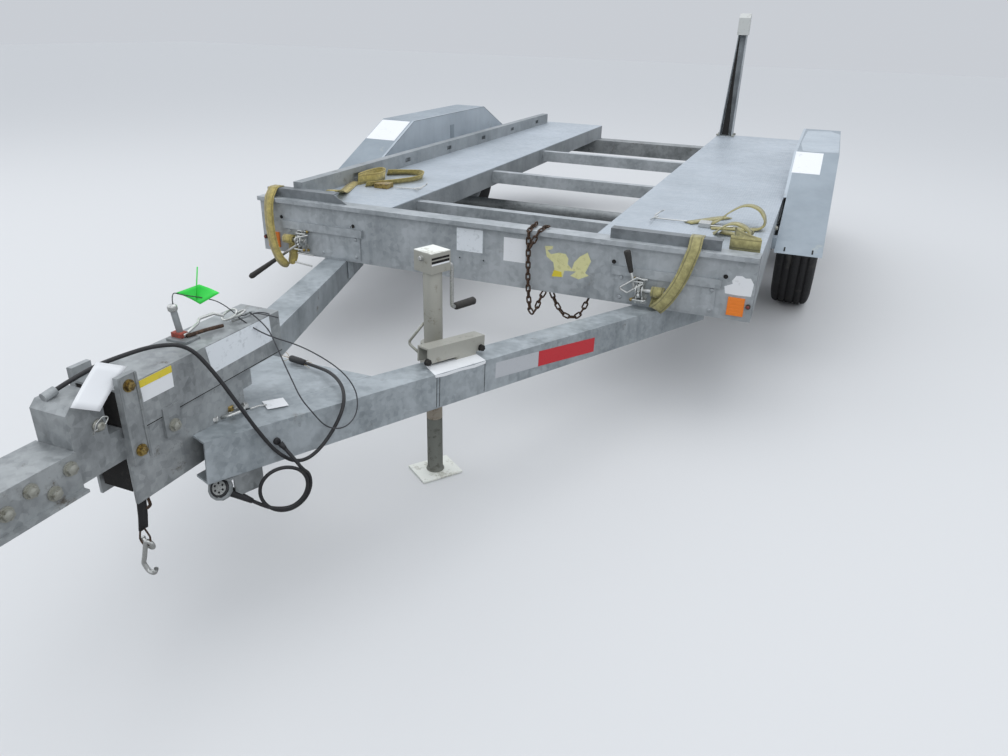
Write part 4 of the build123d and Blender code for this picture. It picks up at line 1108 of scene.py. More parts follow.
# Ratchets
def ratchet(side, sign, gear_x, spool_end, handle_end, bars):
    """Side plates, toothed wheel, pawl, spool and handle, bolted to the beam's face."""
    made = Shape(f"ratchet_{side}_works", "zinc", "grip", "yellow_zinc", "under")
    y, z = SPOOL
    across = Vector((sign, 0, 0))

    def spot(x, dy=0, dz=0):
        return at(sign * x, y + dy, z + dz)

    # Two side plates with rounded noses
    for x, tall in ((gear_x - 14, 52), (gear_x + 9, 48)):
        outline = []
        for i in range(13):
            angle = math.pi * (i / 12 - 0.5) + math.pi
            outline.append(spot(x, math.cos(angle) * 22 - 4, math.sin(angle) * 24))
        outline = [spot(x, 30, -tall)] + [spot(x, -8, -tall)] + outline[::-1][::1] + [
            spot(x, -8, tall - 8), spot(x, 30, tall - 8),
        ]
        order = [outline[0], outline[1]] + sorted(outline[2:-2], key=lambda p: p.z) + outline[-2:]
        made.plate(order, across * 0.0045, 0)
    # Toothed wheel between them
    rings = []
    for x in (gear_x - 6, gear_x + 4):
        ring = []
        for i in range(36):
            angle = 2 * math.pi * i / 36
            reach = (30, 27, 23)[i % 3]
            ring.append(spot(x, math.cos(angle) * reach, math.sin(angle) * reach))
        rings.append(ring)
    made.skin(rings, 0, False)
    # Spool with its end flange, and the tie bars between the plates
    made.round(spot(gear_x - 16), across, [(0, 0.0085), ((spool_end - gear_x + 20) / 1000, 0.0085)], 28, 0)
    made.round(
        spot(spool_end - 2),
        across,
        [(0, 0.012), (0.002, 0.0135), (0.008, 0.0135), (0.0105, 0.011), (0.011, 0.004)],
        28,
        0,
    )
    made.bolt(spot(gear_x - 15), -across, 0.019, 0, washer=1.25)
    for dy, dz in ((14, 38), (14, -44), (-18, -36)):
        made.round(spot(gear_x - 24, dy, dz), across, [(0, 0.004), (0.046, 0.004)], 14, 0)
        made.bolt(spot(gear_x - 24, dy, dz), -across, 0.011, 2, washer=1.3)
    # Pawl's bright bars, and a cross pin above the wheel
    for bar in bars:
        made.rod(bent([at(sign * x, -52, z) for x, z in bar], 0.006), 0.0036, 10, 0)
    made.rod([spot(gear_x - 36, -12, 34), spot(gear_x + 12, -12, 34)], 0.004, 12, 0)
    # Foot that carries the plates on the beam
    made.box(spot(gear_x - 24, 24, -62), spot(gear_x + 24, 31, -20), 0)
    # Handle bar and its tapered grip
    start = spot(gear_x - 22, -4, 6)
    stop = at(sign * handle_end[0], y - 10, handle_end[1])
    way = (stop - start).normalized()
    length = (stop - start).length
    split = 0.42 if length < 0.2 else 0.5
    made.rod([spot(gear_x - 2, -2, 0), start, start + way * length * split], 0.0062, 12, 0)
    made.round(
        start + way * length * split,
        way,
        [
            (0, 0.007), (0.004, 0.009), (length * (0.9 - split), 0.0125),
            (length * (0.97 - split), 0.0135), (length * (1 - split), 0.011),
        ],
        24,
        1,
    )
    made.done(replaces=[f"ratchet_{side}"], bevel=0.0008)


ratchet("left", 1, 673, 772, (612, 602), (
    ((692, 500), (660, 505), (596, 456), (628, 442), (686, 486)), ((654, 375), (700, 380)),
))
ratchet("right", -1, 853, 936, (1145, 250), (
    ((862, 402), (779, 400)), ((879, 358), (792, 350)), ((862, 470), (800, 488)),
))


# Geometry node trees
def tree_of(name, *inputs):
    """A Geometry Nodes tree with a geometry input and output and the named sizes."""
    tree = bpy.data.node_groups.new(name, "GeometryNodeTree")
    tree.interface.new_socket("Geometry", in_out="INPUT", socket_type="NodeSocketGeometry")
    for label, kind, value in inputs:
        socket = tree.interface.new_socket(label, in_out="INPUT", socket_type=kind)
        if value is not None:
            socket.default_value = value
    tree.interface.new_socket("Geometry", in_out="OUTPUT", socket_type="NodeSocketGeometry")
    return tree, tree.nodes.new("NodeGroupInput"), tree.nodes.new("NodeGroupOutput")


def link(tree, source, target):
    tree.links.new(source, target)


def placed_pieces(tree, points, piece, finish, end):
    """Puts the piece on every point, its Z along the point's facing, then makes it real."""
    facing = put(tree, "GeometryNodeInputNamedAttribute", {"Name": "facing"}, data_type="FLOAT_VECTOR")
    roll = put(tree, "GeometryNodeInputNamedAttribute", {"Name": "roll"}, data_type="FLOAT_VECTOR")
    turn = put(tree, "FunctionNodeAxesToRotation", primary_axis="Z", secondary_axis="X")
    link(tree, facing.outputs[0], turn.inputs[0])
    link(tree, roll.outputs[0], turn.inputs[1])
    on = tree.nodes.new("GeometryNodeInstanceOnPoints")
    link(tree, points, on.inputs["Points"])
    link(tree, piece, on.inputs["Instance"])
    link(tree, turn.outputs[0], on.inputs["Rotation"])
    real = tree.nodes.new("GeometryNodeRealizeInstances")
    link(tree, on.outputs[0], real.inputs[0])
    coated = tree.nodes.new("GeometryNodeSetMaterial")
    link(tree, real.outputs[0], coated.inputs["Geometry"])
    link(tree, finish, coated.inputs["Material"])
    link(tree, coated.outputs[0], end.inputs[0])


def bolt_tree():
    """Hexagon heads on washers, one at each point."""
    tree, start, end = tree_of(
        "bolt_heads",
        ("Across flats", "NodeSocketFloat", 0.019),
        ("Head height", "NodeSocketFloat", 0.010),
        ("Washer width", "NodeSocketFloat", 0.028),
        ("Finish", "NodeSocketMaterial", None),
    )
    radius = put(tree, "ShaderNodeMath", {0: start.outputs["Across flats"], 1: 0.5774}, operation="MULTIPLY")
    head = put(
        tree,
        "GeometryNodeMeshCylinder",
        {"Vertices": 6, "Radius": radius.outputs[0], "Depth": start.outputs["Head height"]},
    )
    washer_radius = put(
        tree, "ShaderNodeMath", {0: start.outputs["Washer width"], 1: 0.5}, operation="MULTIPLY",
    )
    washer = put(
        tree,
        "GeometryNodeMeshCylinder",
        {"Vertices": 24, "Radius": washer_radius.outputs[0], "Depth": 0.003},
    )
    lift = put(tree, "ShaderNodeMath", {0: start.outputs["Head height"], 1: 0.5}, operation="MULTIPLY")
    raised = put(tree, "ShaderNodeCombineXYZ", {2: lift.outputs[0]})
    head_up = put(tree, "GeometryNodeTransform", {"Translation": raised.outputs[0]})
    link(tree, head.outputs[0], head_up.inputs[0])
    washer_up = put(tree, "GeometryNodeTransform", {"Translation": (0, 0, 0.0015)})
    link(tree, washer.outputs[0], washer_up.inputs[0])
    cap = put(tree, "GeometryNodeMeshCone", {"Vertices": 24, "Depth": 0.0035})
    link(tree, radius.outputs[0], cap.inputs["Radius Bottom"])
    cap.inputs["Radius Top"].default_value = 0.004
    top = put(tree, "ShaderNodeCombineXYZ", {2: start.outputs["Head height"]})
    cap_up = put(tree, "GeometryNodeTransform", {"Translation": top.outputs[0], "Scale": (0.82, 0.82, 0.6)})
    link(tree, cap.outputs[0], cap_up.inputs[0])
    both = tree.nodes.new("GeometryNodeJoinGeometry")
    for part in (head_up, washer_up, cap_up):
        link(tree, part.outputs[0], both.inputs[0])
    placed_pieces(tree, start.outputs[0], both.outputs[0], start.outputs["Finish"], end)
    return tree


def chain_tree():
    """Round-bar oval links, one at each point."""
    tree, start, end = tree_of(
        "chain_links",
        ("Link length", "NodeSocketFloat", 0.038),
        ("Link width", "NodeSocketFloat", 0.024),
        ("Bar radius", "NodeSocketFloat", 0.0036),
        ("Finish", "NodeSocketMaterial", None),
    )
    bar = put(tree, "ShaderNodeMath", {0: start.outputs["Bar radius"], 1: 2.0}, operation="MULTIPLY")
    long = put(
        tree, "ShaderNodeMath", {0: start.outputs["Link length"], 1: bar.outputs[0]},
        operation="SUBTRACT",
    )
    wide = put(
        tree, "ShaderNodeMath", {0: start.outputs["Link width"], 1: bar.outputs[0]}, operation="SUBTRACT",
    )
    loop = put(
        tree,
        "GeometryNodeCurvePrimitiveQuadrilateral",
        {"Width": wide.outputs[0], "Height": long.outputs[0]},
        mode="RECTANGLE",
    )
    corner = put(tree, "ShaderNodeMath", {0: wide.outputs[0], 1: 0.498}, operation="MULTIPLY")
    soft = put(tree, "GeometryNodeFilletCurve", {"Radius": corner.outputs[0]})
    if hasattr(soft, "mode"):
        soft.mode = "POLY"
    soft.inputs["Count"].default_value = 5
    link(tree, loop.outputs[0], soft.inputs[0])
    section = put(
        tree,
        "GeometryNodeCurvePrimitiveCircle",
        {"Resolution": 10, "Radius": start.outputs["Bar radius"]},
    )
    solid = tree.nodes.new("GeometryNodeCurveToMesh")
    link(tree, soft.outputs[0], solid.inputs[0])
    link(tree, section.outputs[0], solid.inputs[1])
    shaded = put(tree, "GeometryNodeSetShadeSmooth", {})
    link(tree, solid.outputs[0], shaded.inputs[0])
    upright = put(tree, "GeometryNodeTransform", {"Rotation": (math.pi / 2, 0, 0)})
    link(tree, shaded.outputs[0], upright.inputs[0])
    placed_pieces(tree, start.outputs[0], upright.outputs[0], start.outputs["Finish"], end)
    return tree


BOLTS, LINKS = bolt_tree(), chain_tree()


def grown(name, tree, spots, values, body="frame", replaces=()):
    """A plain mesh of the tree's pieces on spots of (place, facing, roll), riding on its body."""
    data = bpy.data.meshes.new(name + "_spots")
    data.from_pydata([s[0] for s in spots], [], [])
    for label, index in (("facing", 1), ("roll", 2)):
        attribute = data.attributes.new(label, "FLOAT_VECTOR", "POINT")
        for item, spot in zip(attribute.data, spots):
            item.vector = spot[index]
    source = bpy.data.objects.new(name + "_spots", data)
    bpy.context.scene.collection.objects.link(source)
    modifier = source.modifiers.new("pieces", "NODES")
    modifier.node_group = tree
    for item in tree.interface.items_tree:
        if item.in_out == "INPUT" and item.name in values:
            modifier[item.identifier] = values[item.name]
    view = bpy.context.evaluated_depsgraph_get()
    view.update()
    solid = bpy.data.meshes.new_from_object(
        source.evaluated_get(view), preserve_all_data_layers=False, depsgraph=view,
    )
    bpy.data.objects.remove(source)
    made = bpy.data.objects.new(name, solid)
    bpy.context.scene.collection.objects.link(made)
    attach(made, body)
    if replaces:
        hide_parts(*replaces)
    return made


def side_of(way):
    return Vector(way).orthogonal().normalized()


def bolts(name, middles, way, size=0.019, finish="zinc"):
    """Bolt heads at places in millimetres, all facing one way."""
    spots = [(middle, Vector(way), side_of(way)) for middle in places(*middles)]
    values = {
        "Across flats": size, "Head height": size * 0.55, "Washer width": size * 1.5,
        "Finish": FINISH[finish],
    }
    return grown(name, BOLTS, spots, values)


def chain():
    """Two runs: one down from the beam's edge and up under it, one in a loop under the beam."""
    pitch = 0.0237
    spots = []
    for run, flip in (
        (
            (
                (216, 66, 632), (216, -26, 634), (218, -33, 600), (220, -33, 520), (223, -33, 405),
                (234, -31, 306), (246, -28, 291), (259, -22, 306), (272, -8, 360), (280, 12, 374),
            ),
            0,
        ),
        (((268, 52, 632), (262, -26, 634), (246, -36, 600), (228, -40, 560)), 1),
        (
            (
                (304, 24, 375), (314, 22, 356), (333, 20, 322), (363, 18, 288), (398, 17, 281),
                (430, 18, 296), (452, 22, 345), (462, 26, 375),
            ),
            1,
        ),
    ):
        line = [Vector(p) / 1000 for p in smooth_run([Vector(p) for p in run], 10)]
        line = [p + Vector((0, BEAM_Y, 0)) for p in line]
        total = sum((b - a).length for a, b in zip(line, line[1:]))
        count = int(total / pitch)
        marks = [(i + 0.5) * total / count for i in range(count)]
        gone, k = 0.0, 0
        for i, mark in enumerate(marks):
            while gone + (line[k + 1] - line[k]).length < mark:
                gone += (line[k + 1] - line[k]).length
                k += 1
            step = line[k + 1] - line[k]
            place = line[k] + step * ((mark - gone) / step.length)
            heading = step.normalized()
            across = Vector((0, 1, 0)) if abs(heading.y) < 0.8 else Vector((0, 0, 1))
            across = (across - heading * across.dot(heading)).normalized()
            if (i + flip) % 2:
                across = heading.cross(across)
            spots.append((place, heading, across))
    values = {"Link length": 0.0375, "Link width": 0.0225, "Bar radius": 0.0034, "Finish": FINISH["rust"]}
    grown("safety_chain_links", LINKS, spots, values, replaces=["safety_chain"])


chain()


# Places on the tongue rails
TILT = math.atan2(0.143, 1.690)
NOSE_RUN = 1.690 / math.cos(TILT)
HEADING = math.atan2(0.654, NOSE_RUN)
RAIL_UP = Vector((0, math.sin(TILT), math.cos(TILT)))
RAIL_OUT = Vector(
    (math.cos(HEADING), -math.sin(HEADING) * math.cos(TILT), math.sin(HEADING) * math.sin(TILT))
)
RAIL_ALONG = Vector(
    (math.sin(HEADING), math.cos(HEADING) * math.cos(TILT), -math.cos(HEADING) * math.sin(TILT))
)
RAIL_NOSE = Vector((0.100, -1.690 + BEAM_Y, 0.523))


def on_rail(along, down=0.0, inward=0.0):
    """A place on the left tongue rail in millimetres: from its nose, below its top, in from its face."""
    return RAIL_NOSE + (RAIL_ALONG * along - RAIL_UP * down - RAIL_OUT * inward) / 1000


def stuck_on(made, outline, way, finish, thickness=0.0006):
    """A label on a surface: its outline in metres and the way that it faces."""
    way = Vector(way).normalized()
    made.plate([Vector(p) - way * 0.0002 for p in outline], way * thickness, finish)


def leaf(made, corners, bulge, finish, steps=6):
    """A bent sheet of paper between four corners, its middle raised by bulge."""
    first, second, third, fourth = corners
    normal = (second - first).cross(fourth - first).normalized()
    rings = []
    for j in range(steps + 1):
        down = j / steps
        row = [
            first.lerp(second, i / steps).lerp(
                fourth.lerp(third, i / steps), down,
            ) + normal * bulge * math.sin(math.pi * down)
            for i in range(steps + 1)
        ]
        rings.append(row + [p - normal * 0.0005 for p in row[::-1]])
    made.skin(rings, finish)


def smooth(points):
    """Points in metres carried along a soft curve."""
    return [p / 1000 for p in smooth_run([p * 1000 for p in points])]


def disc(made, place, way, radius, finish, thickness=0.0008, sides=20):
    made.round(place, way, [(-0.0004, radius), (thickness, radius)], sides, finish, False)


# Front beam
def beam_details():
    """Blank labels, holes, rivets, reflectors and lugs of the front beam."""
    made = Shape("beam_labels", "aged_vinyl", "vinyl", "torn_vinyl", "yellow_vinyl")
    for finish, outline in (
        (0, ((-106, 500), (10, 500), (10, 594), (-106, 594))),
        (1, ((102, 484), (197, 484), (197, 580), (102, 580))),
        (
            1,
            (
                (972, 504), (1000, 517), (996, 528), (1008, 548), (1029, 550), (1042, 543), (1059, 545),
                (1073, 525), (1070, 478), (1024, 476), (978, 478),
            ),
        ),
        (
            2,
            (
                (276, 565), (309, 569), (308, 557), (287, 549), (302, 536), (336, 546), (363, 544),
                (375, 526), (373, 505), (391, 488), (399, 516), (421, 542), (450, 561), (466, 528),
                (446, 479), (461, 470), (421, 450), (386, 460), (409, 480), (361, 477), (356, 450),
                (311, 446), (320, 471), (314, 504), (285, 524),
            ),
        ),
    ):
        stuck_on(made, [at(x, 0, z) for x, z in outline], (0, -1, 0), finish)
    stuck_on(made, front_outline(-0.6, (310, 447), (352, 450), (350, 470), (318, 474)), (0, -1, 0), 3)
    made.done()
    marks = Shape("beam_holes", "shade", "beam")
    # Holes: a rim in the beam's zinc and, inside it, a dark disc of painted shade
    for x, z, radius in (
        (556, 540, 9.5), (972, 540, 9.5), (-600, 540, 9.5), (-972, 540, 9.5), (-92, 470, 4), (15, 471, 4),
        (-612, 536, 4),
    ):
        depth = 0 if abs(x) < 553 or abs(x) > 960 or z > 529 else -14
        place = at(x, depth, z)
        marks.round(
            place,
            (0, -1, 0),
            [
                (0, radius / 1000 + 0.002), (0.0016, radius / 1000 + 0.001), (0.0016, radius / 1000),
                (0.0006, radius / 1000 - 0.001),
            ],
            24,
            1,
        )
        disc(marks, place, (0, -1, 0), radius / 1000 - 0.001, 0, 0.0012)
    for sign in (1, -1):
        for x, z in ((590, 484), (931, 484), (931, 406), (590, 406), (760, 406)):
            marks.round(
                at(sign * x, -5, z), (0, -1, 0), [(0, 0.0085), (0.0025, 0.0075), (0.004, 0.004)], 20, 1,
            )
    marks.done()
    # Reflector with its ribs and rim, and the round lamp in its rusty ring
    lamps = Shape("front_reflector_lenses", "amber", "red_lens", "rust", "plastic")
    for sign in (1, -1):
        lamps.box(at(sign * 992, -6.2, 399), at(sign * 1052, 0, 468), 0)
        for i in range(5):
            z = 404 + i * 13
            lamps.box(at(sign * 995, -6.8, z), at(sign * 1049, -6.0, z + 8), 0)
        lamps.round(
            at(sign * 1066, 0, 440),
            (0, -1, 0),
            [(0, 0.0088), (0.009, 0.0088), (0.0115, 0.007), (0.0115, 0.006)],
            28,
            2,
        )
        lamps.round(
            at(sign * 1066, -10, 440), (0, -1, 0), [(0, 0.0062), (0.003, 0.0055), (0.0055, 0.003)], 24, 1,
        )
    lamps.done(replaces=["front_reflectors"], bevel=0.0012)
    edge = Shape("beam_brackets", "tongue", "shade")
    # Lug over each tongue rail, under the beam
    for sign in (1, -1):
        edge.box(at(sign * 640, 8, 300), at(sign * 648, 46, 380), 0)
    edge.done(bevel=0.002)


# Tongue
def tongue_details():
    """Reflective tape, blank labels, weld lines, shackle and small fittings on the tongue."""
    tape = Shape("tongue_tape_and_labels", "white_tape", "red_tape", "vinyl", "shade")
    stuck_on(tape, [on_rail(*p) for p in ((908, 17), (1105, 22), (1106, 73), (908, 67))], RAIL_OUT, 0)
    stuck_on(tape, [on_rail(*p) for p in ((1106, 22), (1402, 33), (1403, 84), (1107, 73))], RAIL_OUT, 1)
    stuck_on(tape, [on_rail(*p) for p in ((692, 0, 69), (885, 0, 67), (864, 0, 1), (664, 0, 1))], RAIL_UP, 2)
    stuck_on(
        tape,
        [
            on_rail(*p)
            for p in (
                (664, 0), (700, 2), (740, 1), (800, 3), (864, 1), (862, 9), (820, 12), (760, 9),
                (700, 11), (666, 8),
            )
        ],
        RAIL_OUT,
        2,
    )
    for along in (670, 681, 860):
        stuck_on(
            tape,
            [on_rail(along, 2), on_rail(along + 2, 2), on_rail(along + 4, 98), on_rail(along + 2, 98)],
            RAIL_OUT,
            3,
            0.0004,
        )
    disc(tape, on_rail(58, 0, 90), RAIL_UP, 0.004, 3)
    tape.done()
    tag = Shape("diamond_label", "vinyl", "zinc")
    centre = on_rail(226, -2.5, 90)
    a, b = (RAIL_ALONG * 0.033 - RAIL_OUT * 0.020), (RAIL_OUT * 0.030 + RAIL_ALONG * 0.018)
    stuck_on(tag, [centre - a, centre + b, centre + a, centre - b], RAIL_UP, 0, 0.0008)
    tag.rod([on_rail(160, -6, 92), on_rail(186, -5, 96), on_rail(204, -3.5, 92)], 0.0022, 8, 1)
    tag.done()
    shackle = Shape("tongue_shackle", "zinc", "yellow_zinc")
    bow = [
        on_rail(*p)
        for p in ((84, -7, 84), (100, -12, 72), (122, -15, 70), (142, -14, 84), (146, -12, 100))
    ]
    shackle.rod(bent(bow, 0.014), 0.0042, 12, 0)
    shackle.rod([on_rail(76, -8, 86), on_rail(104, -9, 104), on_rail(150, -11, 104)], 0.0052, 12, 0)
    shackle.bolt(on_rail(150, -11, 104), RAIL_ALONG, 0.014, 0, washer=1.2)
    shackle.bolt(on_rail(70, -8, 80), -RAIL_ALONG + RAIL_UP * 0.2, 0.014, 0, washer=1.2)
    shackle.rod([on_rail(112, 0, 96), on_rail(112, -13, 98)], 0.006, 12, 0)
    shackle.bolt(on_rail(112, -13, 98), RAIL_UP, 0.016, 1, washer=1.2)
    shackle.done()
    ends = Shape("hose_fitting_body", "rubber", "brass")
    start, way = at(-8, -1195, 493.6), Vector((-58, 10, 0)).normalized()
    ends.round(
        start - way * 0.012,
        way,
        [(0, 0.0052), (0.004, 0.0085), (0.020, 0.0095), (0.052, 0.0095), (0.056, 0.0080)],
        24,
        0,
    )
    for side in (0, 1):
        place = start + way * (0.046 if side else -0.006)
        for i in range(4):
            angle = 1.6 * i + side
            turn = Vector((0, math.cos(angle), math.sin(angle)))
            out = way * (0.022 if side else -0.020) + turn * 0.012
            ends.rod([place, place + out * 0.6 + turn * 0.002, place + out], 0.0006, 6, 1)
    ends.done(replaces=["hose_fitting"])
    gland = Shape("cable_grommet_ring", "rubber")
    face = at(161.8, -1535, 462)
    gland.round(face, RAIL_OUT, [(0, 0.0085), (0.003, 0.0088), (0.006, 0.0080), (0.007, 0.0070)], 28, 0)
    way = at(204, -1528, 418) - at(182, -1533, 446)
    gland.round(
        at(182, -1533, 446) - way.normalized() * 0.016,
        way,
        [(0, 0.0068), (0.008, 0.0064), (0.0175, 0.0050)],
        24,
        0,
    )
    gland.done(replaces=["cable_grommet"])


# Actuator and coupler
def actuator_details():
    """Bolts, blank labels, slide pin, tag, hooks and lever of the surge brake."""
    for name, x, spots, size, finish in (
        ("upright", 64.5, ((-1818, 708), (-1818, 566)), 0.017, "yellow_zinc"),
        ("tab", 59, ((-1722, 574),), 0.019, "pale_zinc"),
        ("coupler", 51.4, ((-1964, 601), (-2004, 572), (-2044, 601), (-2094, 585)), 0.019, "pale_zinc"),
    ):
        for sign, hand in ((1, "left"), (-1, "right")):
            bolts(f"{name}_bolts_{hand}", [(sign * x, y, z) for y, z in spots], (sign, 0, 0), size, finish)
    made = Shape("actuator_labels", "vinyl", "yellow_vinyl", "aged_vinyl", "shade")
    side = (1, 0, 0)
    stuck_on(made, side_outline(56, (-1602, 703), (-1387, 703), (-1384, 640), (-1590, 637)), side, 2)
    stuck_on(made, side_outline(56, (-1786, 702), (-1702, 702), (-1703, 654), (-1784, 655)), side, 0)
    stuck_on(made, side_outline(56.5, (-1786, 702), (-1702, 702), (-1702, 687), (-1786, 687)), side, 1)
    # Seam where the housing meets the case
    stuck_on(made, side_outline(56, (-1795, 602), (-1352, 602), (-1352, 604), (-1795, 604)), side, 3, 0.0004)
    made.done()
    ribs = Shape("upright_ribs", "under")
    for sign in (1, -1):
        for y in (-1840, -1801):
            ribs.box(at(sign * 63.8, y, 541), at(sign * 66.5, y + 6, 729), 0)
    ribs.done(bevel=0.001)
    works = Shape("actuator_fittings", "pale_zinc", "rust", "zinc", "shade", "rubber")
    # Slide pin's ends with their washers and hairpin
    for sign in (1, -1):
        works.round(
            at(sign * 44.7, -1885, 650),
            (sign, 0, 0),
            [(0, 0.0125), (0.003, 0.0125), (0.0032, 0.009), (0.0105, 0.0085), (0.0125, 0.006)],
            24,
            0,
        )
    works.rod(
        bent(
            places(
                (52, -1900, 646), (54, -1876, 650), (55, -1866, 662), (54, -1878, 668), (53, -1893, 660),
                (52, -1904, 640),
            ),
            0.008,
        ),
        0.0014,
        8,
        2,
    )
    # Painted shade: dark blocks in the case's mouths, under and over the slide
    works.box(at(-38, -1836, 470), at(38, -1800, 548), 3)
    works.box(at(-50, -1838, 622), at(50, -1800, 698), 3)
    # Strap and S-hook under the case
    works.ribbon(
        places((-24, -1768, 452), (-28, -1764, 420), (-40, -1762, 340), (-50, -1760, 300)),
        (0.2, 1, 0),
        0.022,
        0.003,
        4,
    )
    works.rod(
        bent(places((-24, -1772, 455), (-8, -1770, 420), (-2, -1768, 384), (-14, -1768, 372)), 0.01),
        0.0035,
        8,
        1,
    )
    works.rod(
        bent(
            places(
                (-46, -1760, 302), (-34, -1760, 284), (-36, -1760, 262), (-58, -1760, 250),
                (-68, -1760, 266), (-62, -1760, 290), (-50, -1760, 300),
            ),
            0.012,
        ),
        0.0022,
        8,
        1,
    )
    works.rod(
        bent(
            places(
                (-68, -1752, 268), (-62, -1750, 246), (-40, -1752, 244), (-34, -1758, 262),
                (-44, -1764, 274), (-52, -1764, 250), (-60, -1764, 222), (-70, -1762, 200),
                (-62, -1760, 178), (-44, -1760, 176), (-36, -1760, 192),
            ),
            0.012,
        ),
        0.0055,
        12,
        2,
    )
    works.done()
    # Emergency lever: rusty foot, upright with a bright head, bent bright rod with its rings
    lever = Shape("breakaway_lever_works", "zinc", "rust", "under", "red_paint")
    lever.box(at(-44, -1611, 705.3), at(14, -1569, 711), 2)
    lever.box(at(-38, -1600, 711), at(-8, -1580, 722), 3)
    lever.rod([at(-22, -1588, 716), at(-26, -1590, 750), at(-28, -1592, 774)], 0.0072, 14, 2)
    lever.round(
        at(-28, -1592, 770),
        (-0.1, -0.05, 1),
        [(0, 0.0085), (0.003, 0.0105), (0.012, 0.0105), (0.0155, 0.007)],
        24,
        0,
    )
    lever.rod(
        bent(
            places(
                (-8, -1594, 716), (-22, -1535, 722), (-30, -1520, 728), (-12, -1492, 734),
                (4, -1478, 726),
            ),
            0.01,
        ),
        0.0036,
        12,
        0,
    )
    lever.rod([at(-4, -1590, 715), at(10, -1545, 716), at(18, -1500, 712)], 0.0045, 10, 1)
    for middle, tilt in ((at(6, -1462, 724), 0.5), (at(22, -1452, 724), 1.2)):
        ring = [
            middle + Vector((math.cos(a) * 0.019, math.sin(a) * 0.014, math.sin(a + tilt) * 0.010))
            for a in (2 * math.pi * i / 24 for i in range(24))
        ]
        lever.rod(ring + [ring[0]], 0.0030, 10, 0, False)
    lever.rod(
        bent(
            places(
                (18, -1470, 712), (34, -1440, 716), (40, -1418, 720), (26, -1406, 716), (14, -1420, 712),
            ),
            0.01,
        ),
        0.0030,
        8,
        2,
    )
    lever.done(replaces=["breakaway_lever"], bevel=0.0012)
    tags = Shape("paper_tags", "vinyl", "green_tag")
    # White tag leaning over the block's edge, green tag held up by its tie
    leaf(tags, places((28, -1846, 762), (48, -1800, 738), (68, -1892, 688), (60, -1942, 717)), 0.006, 0)
    leaf(tags, places((-104, -1502, 773), (-40, -1494, 800), (22, -1500, 791), (-34, -1506, 757)), 0.004, 1)
    tags.rod([at(-47, -1502, 766), at(-42, -1500, 800), at(-34, -1498, 843)], 0.0014, 8, 1)
    tags.done()
    wire = Shape("lever_wire", "cable_black")
    wire.rod(
        smooth(
            places(
                (-28, -1590, 786), (-60, -1560, 800), (-70, -1520, 778), (-30, -1500, 772),
                (6, -1480, 760), (22, -1462, 730),
            )
        ),
        0.0012,
        8,
        0,
    )
    for spots in (
        ((10, -1440, 712), (40, -1425, 722), (64, -1400, 712), (88, -1392, 706)),
        ((18, -1410, 708), (36, -1392, 716), (60, -1388, 709)),
    ):
        wire.rod(smooth(places(*spots)), 0.0014, 8, 0)
    wire.done()
    latch = Shape("coupler_latch_works", "zinc", "pale_zinc")
    top = 626.6
    outline = side_outline(
        -14, (-2220, top), (-2104, top), (-2078, top + 40), (-2088, top + 46), (-2140, top + 28),
        (-2220, top + 22),
    )
    latch.plate(outline, Vector((0.028, 0, 0)), 0)
    latch.round(at(-19, -2136, top + 13), (1, 0, 0), [(0, 0.006), (0.038, 0.006)], 20, 1)
    latch.bolt(at(0, -2202, top + 22), (0, 0, 1), 0.016, 1)
    latch.done(replaces=["coupler_latch"], bevel=0.003)


def breakaway_cable():
    """Thin cable of the emergency brake: from its ring, out in a loop and back."""
    points = places(
        (24, -1458, 722), (50, -1450, 699), (85, -1426, 670), (130, -1383, 641), (180, -1356, 606),
        (225, -1341, 570), (255, -1338, 531), (272, -1355, 500), (280, -1384, 477), (283, -1431, 474),
        (280, -1473, 490), (272, -1500, 512), (255, -1514, 547), (225, -1513, 576), (185, -1485, 599),
        (150, -1464, 627), (104, -1434, 664), (76, -1423, 696), (36, -1428, 724),
    )
    run = spline("breakaway_cable_loop", points, 0.0016, "cable_black")
    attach(run, "frame")
    cord_length(points)


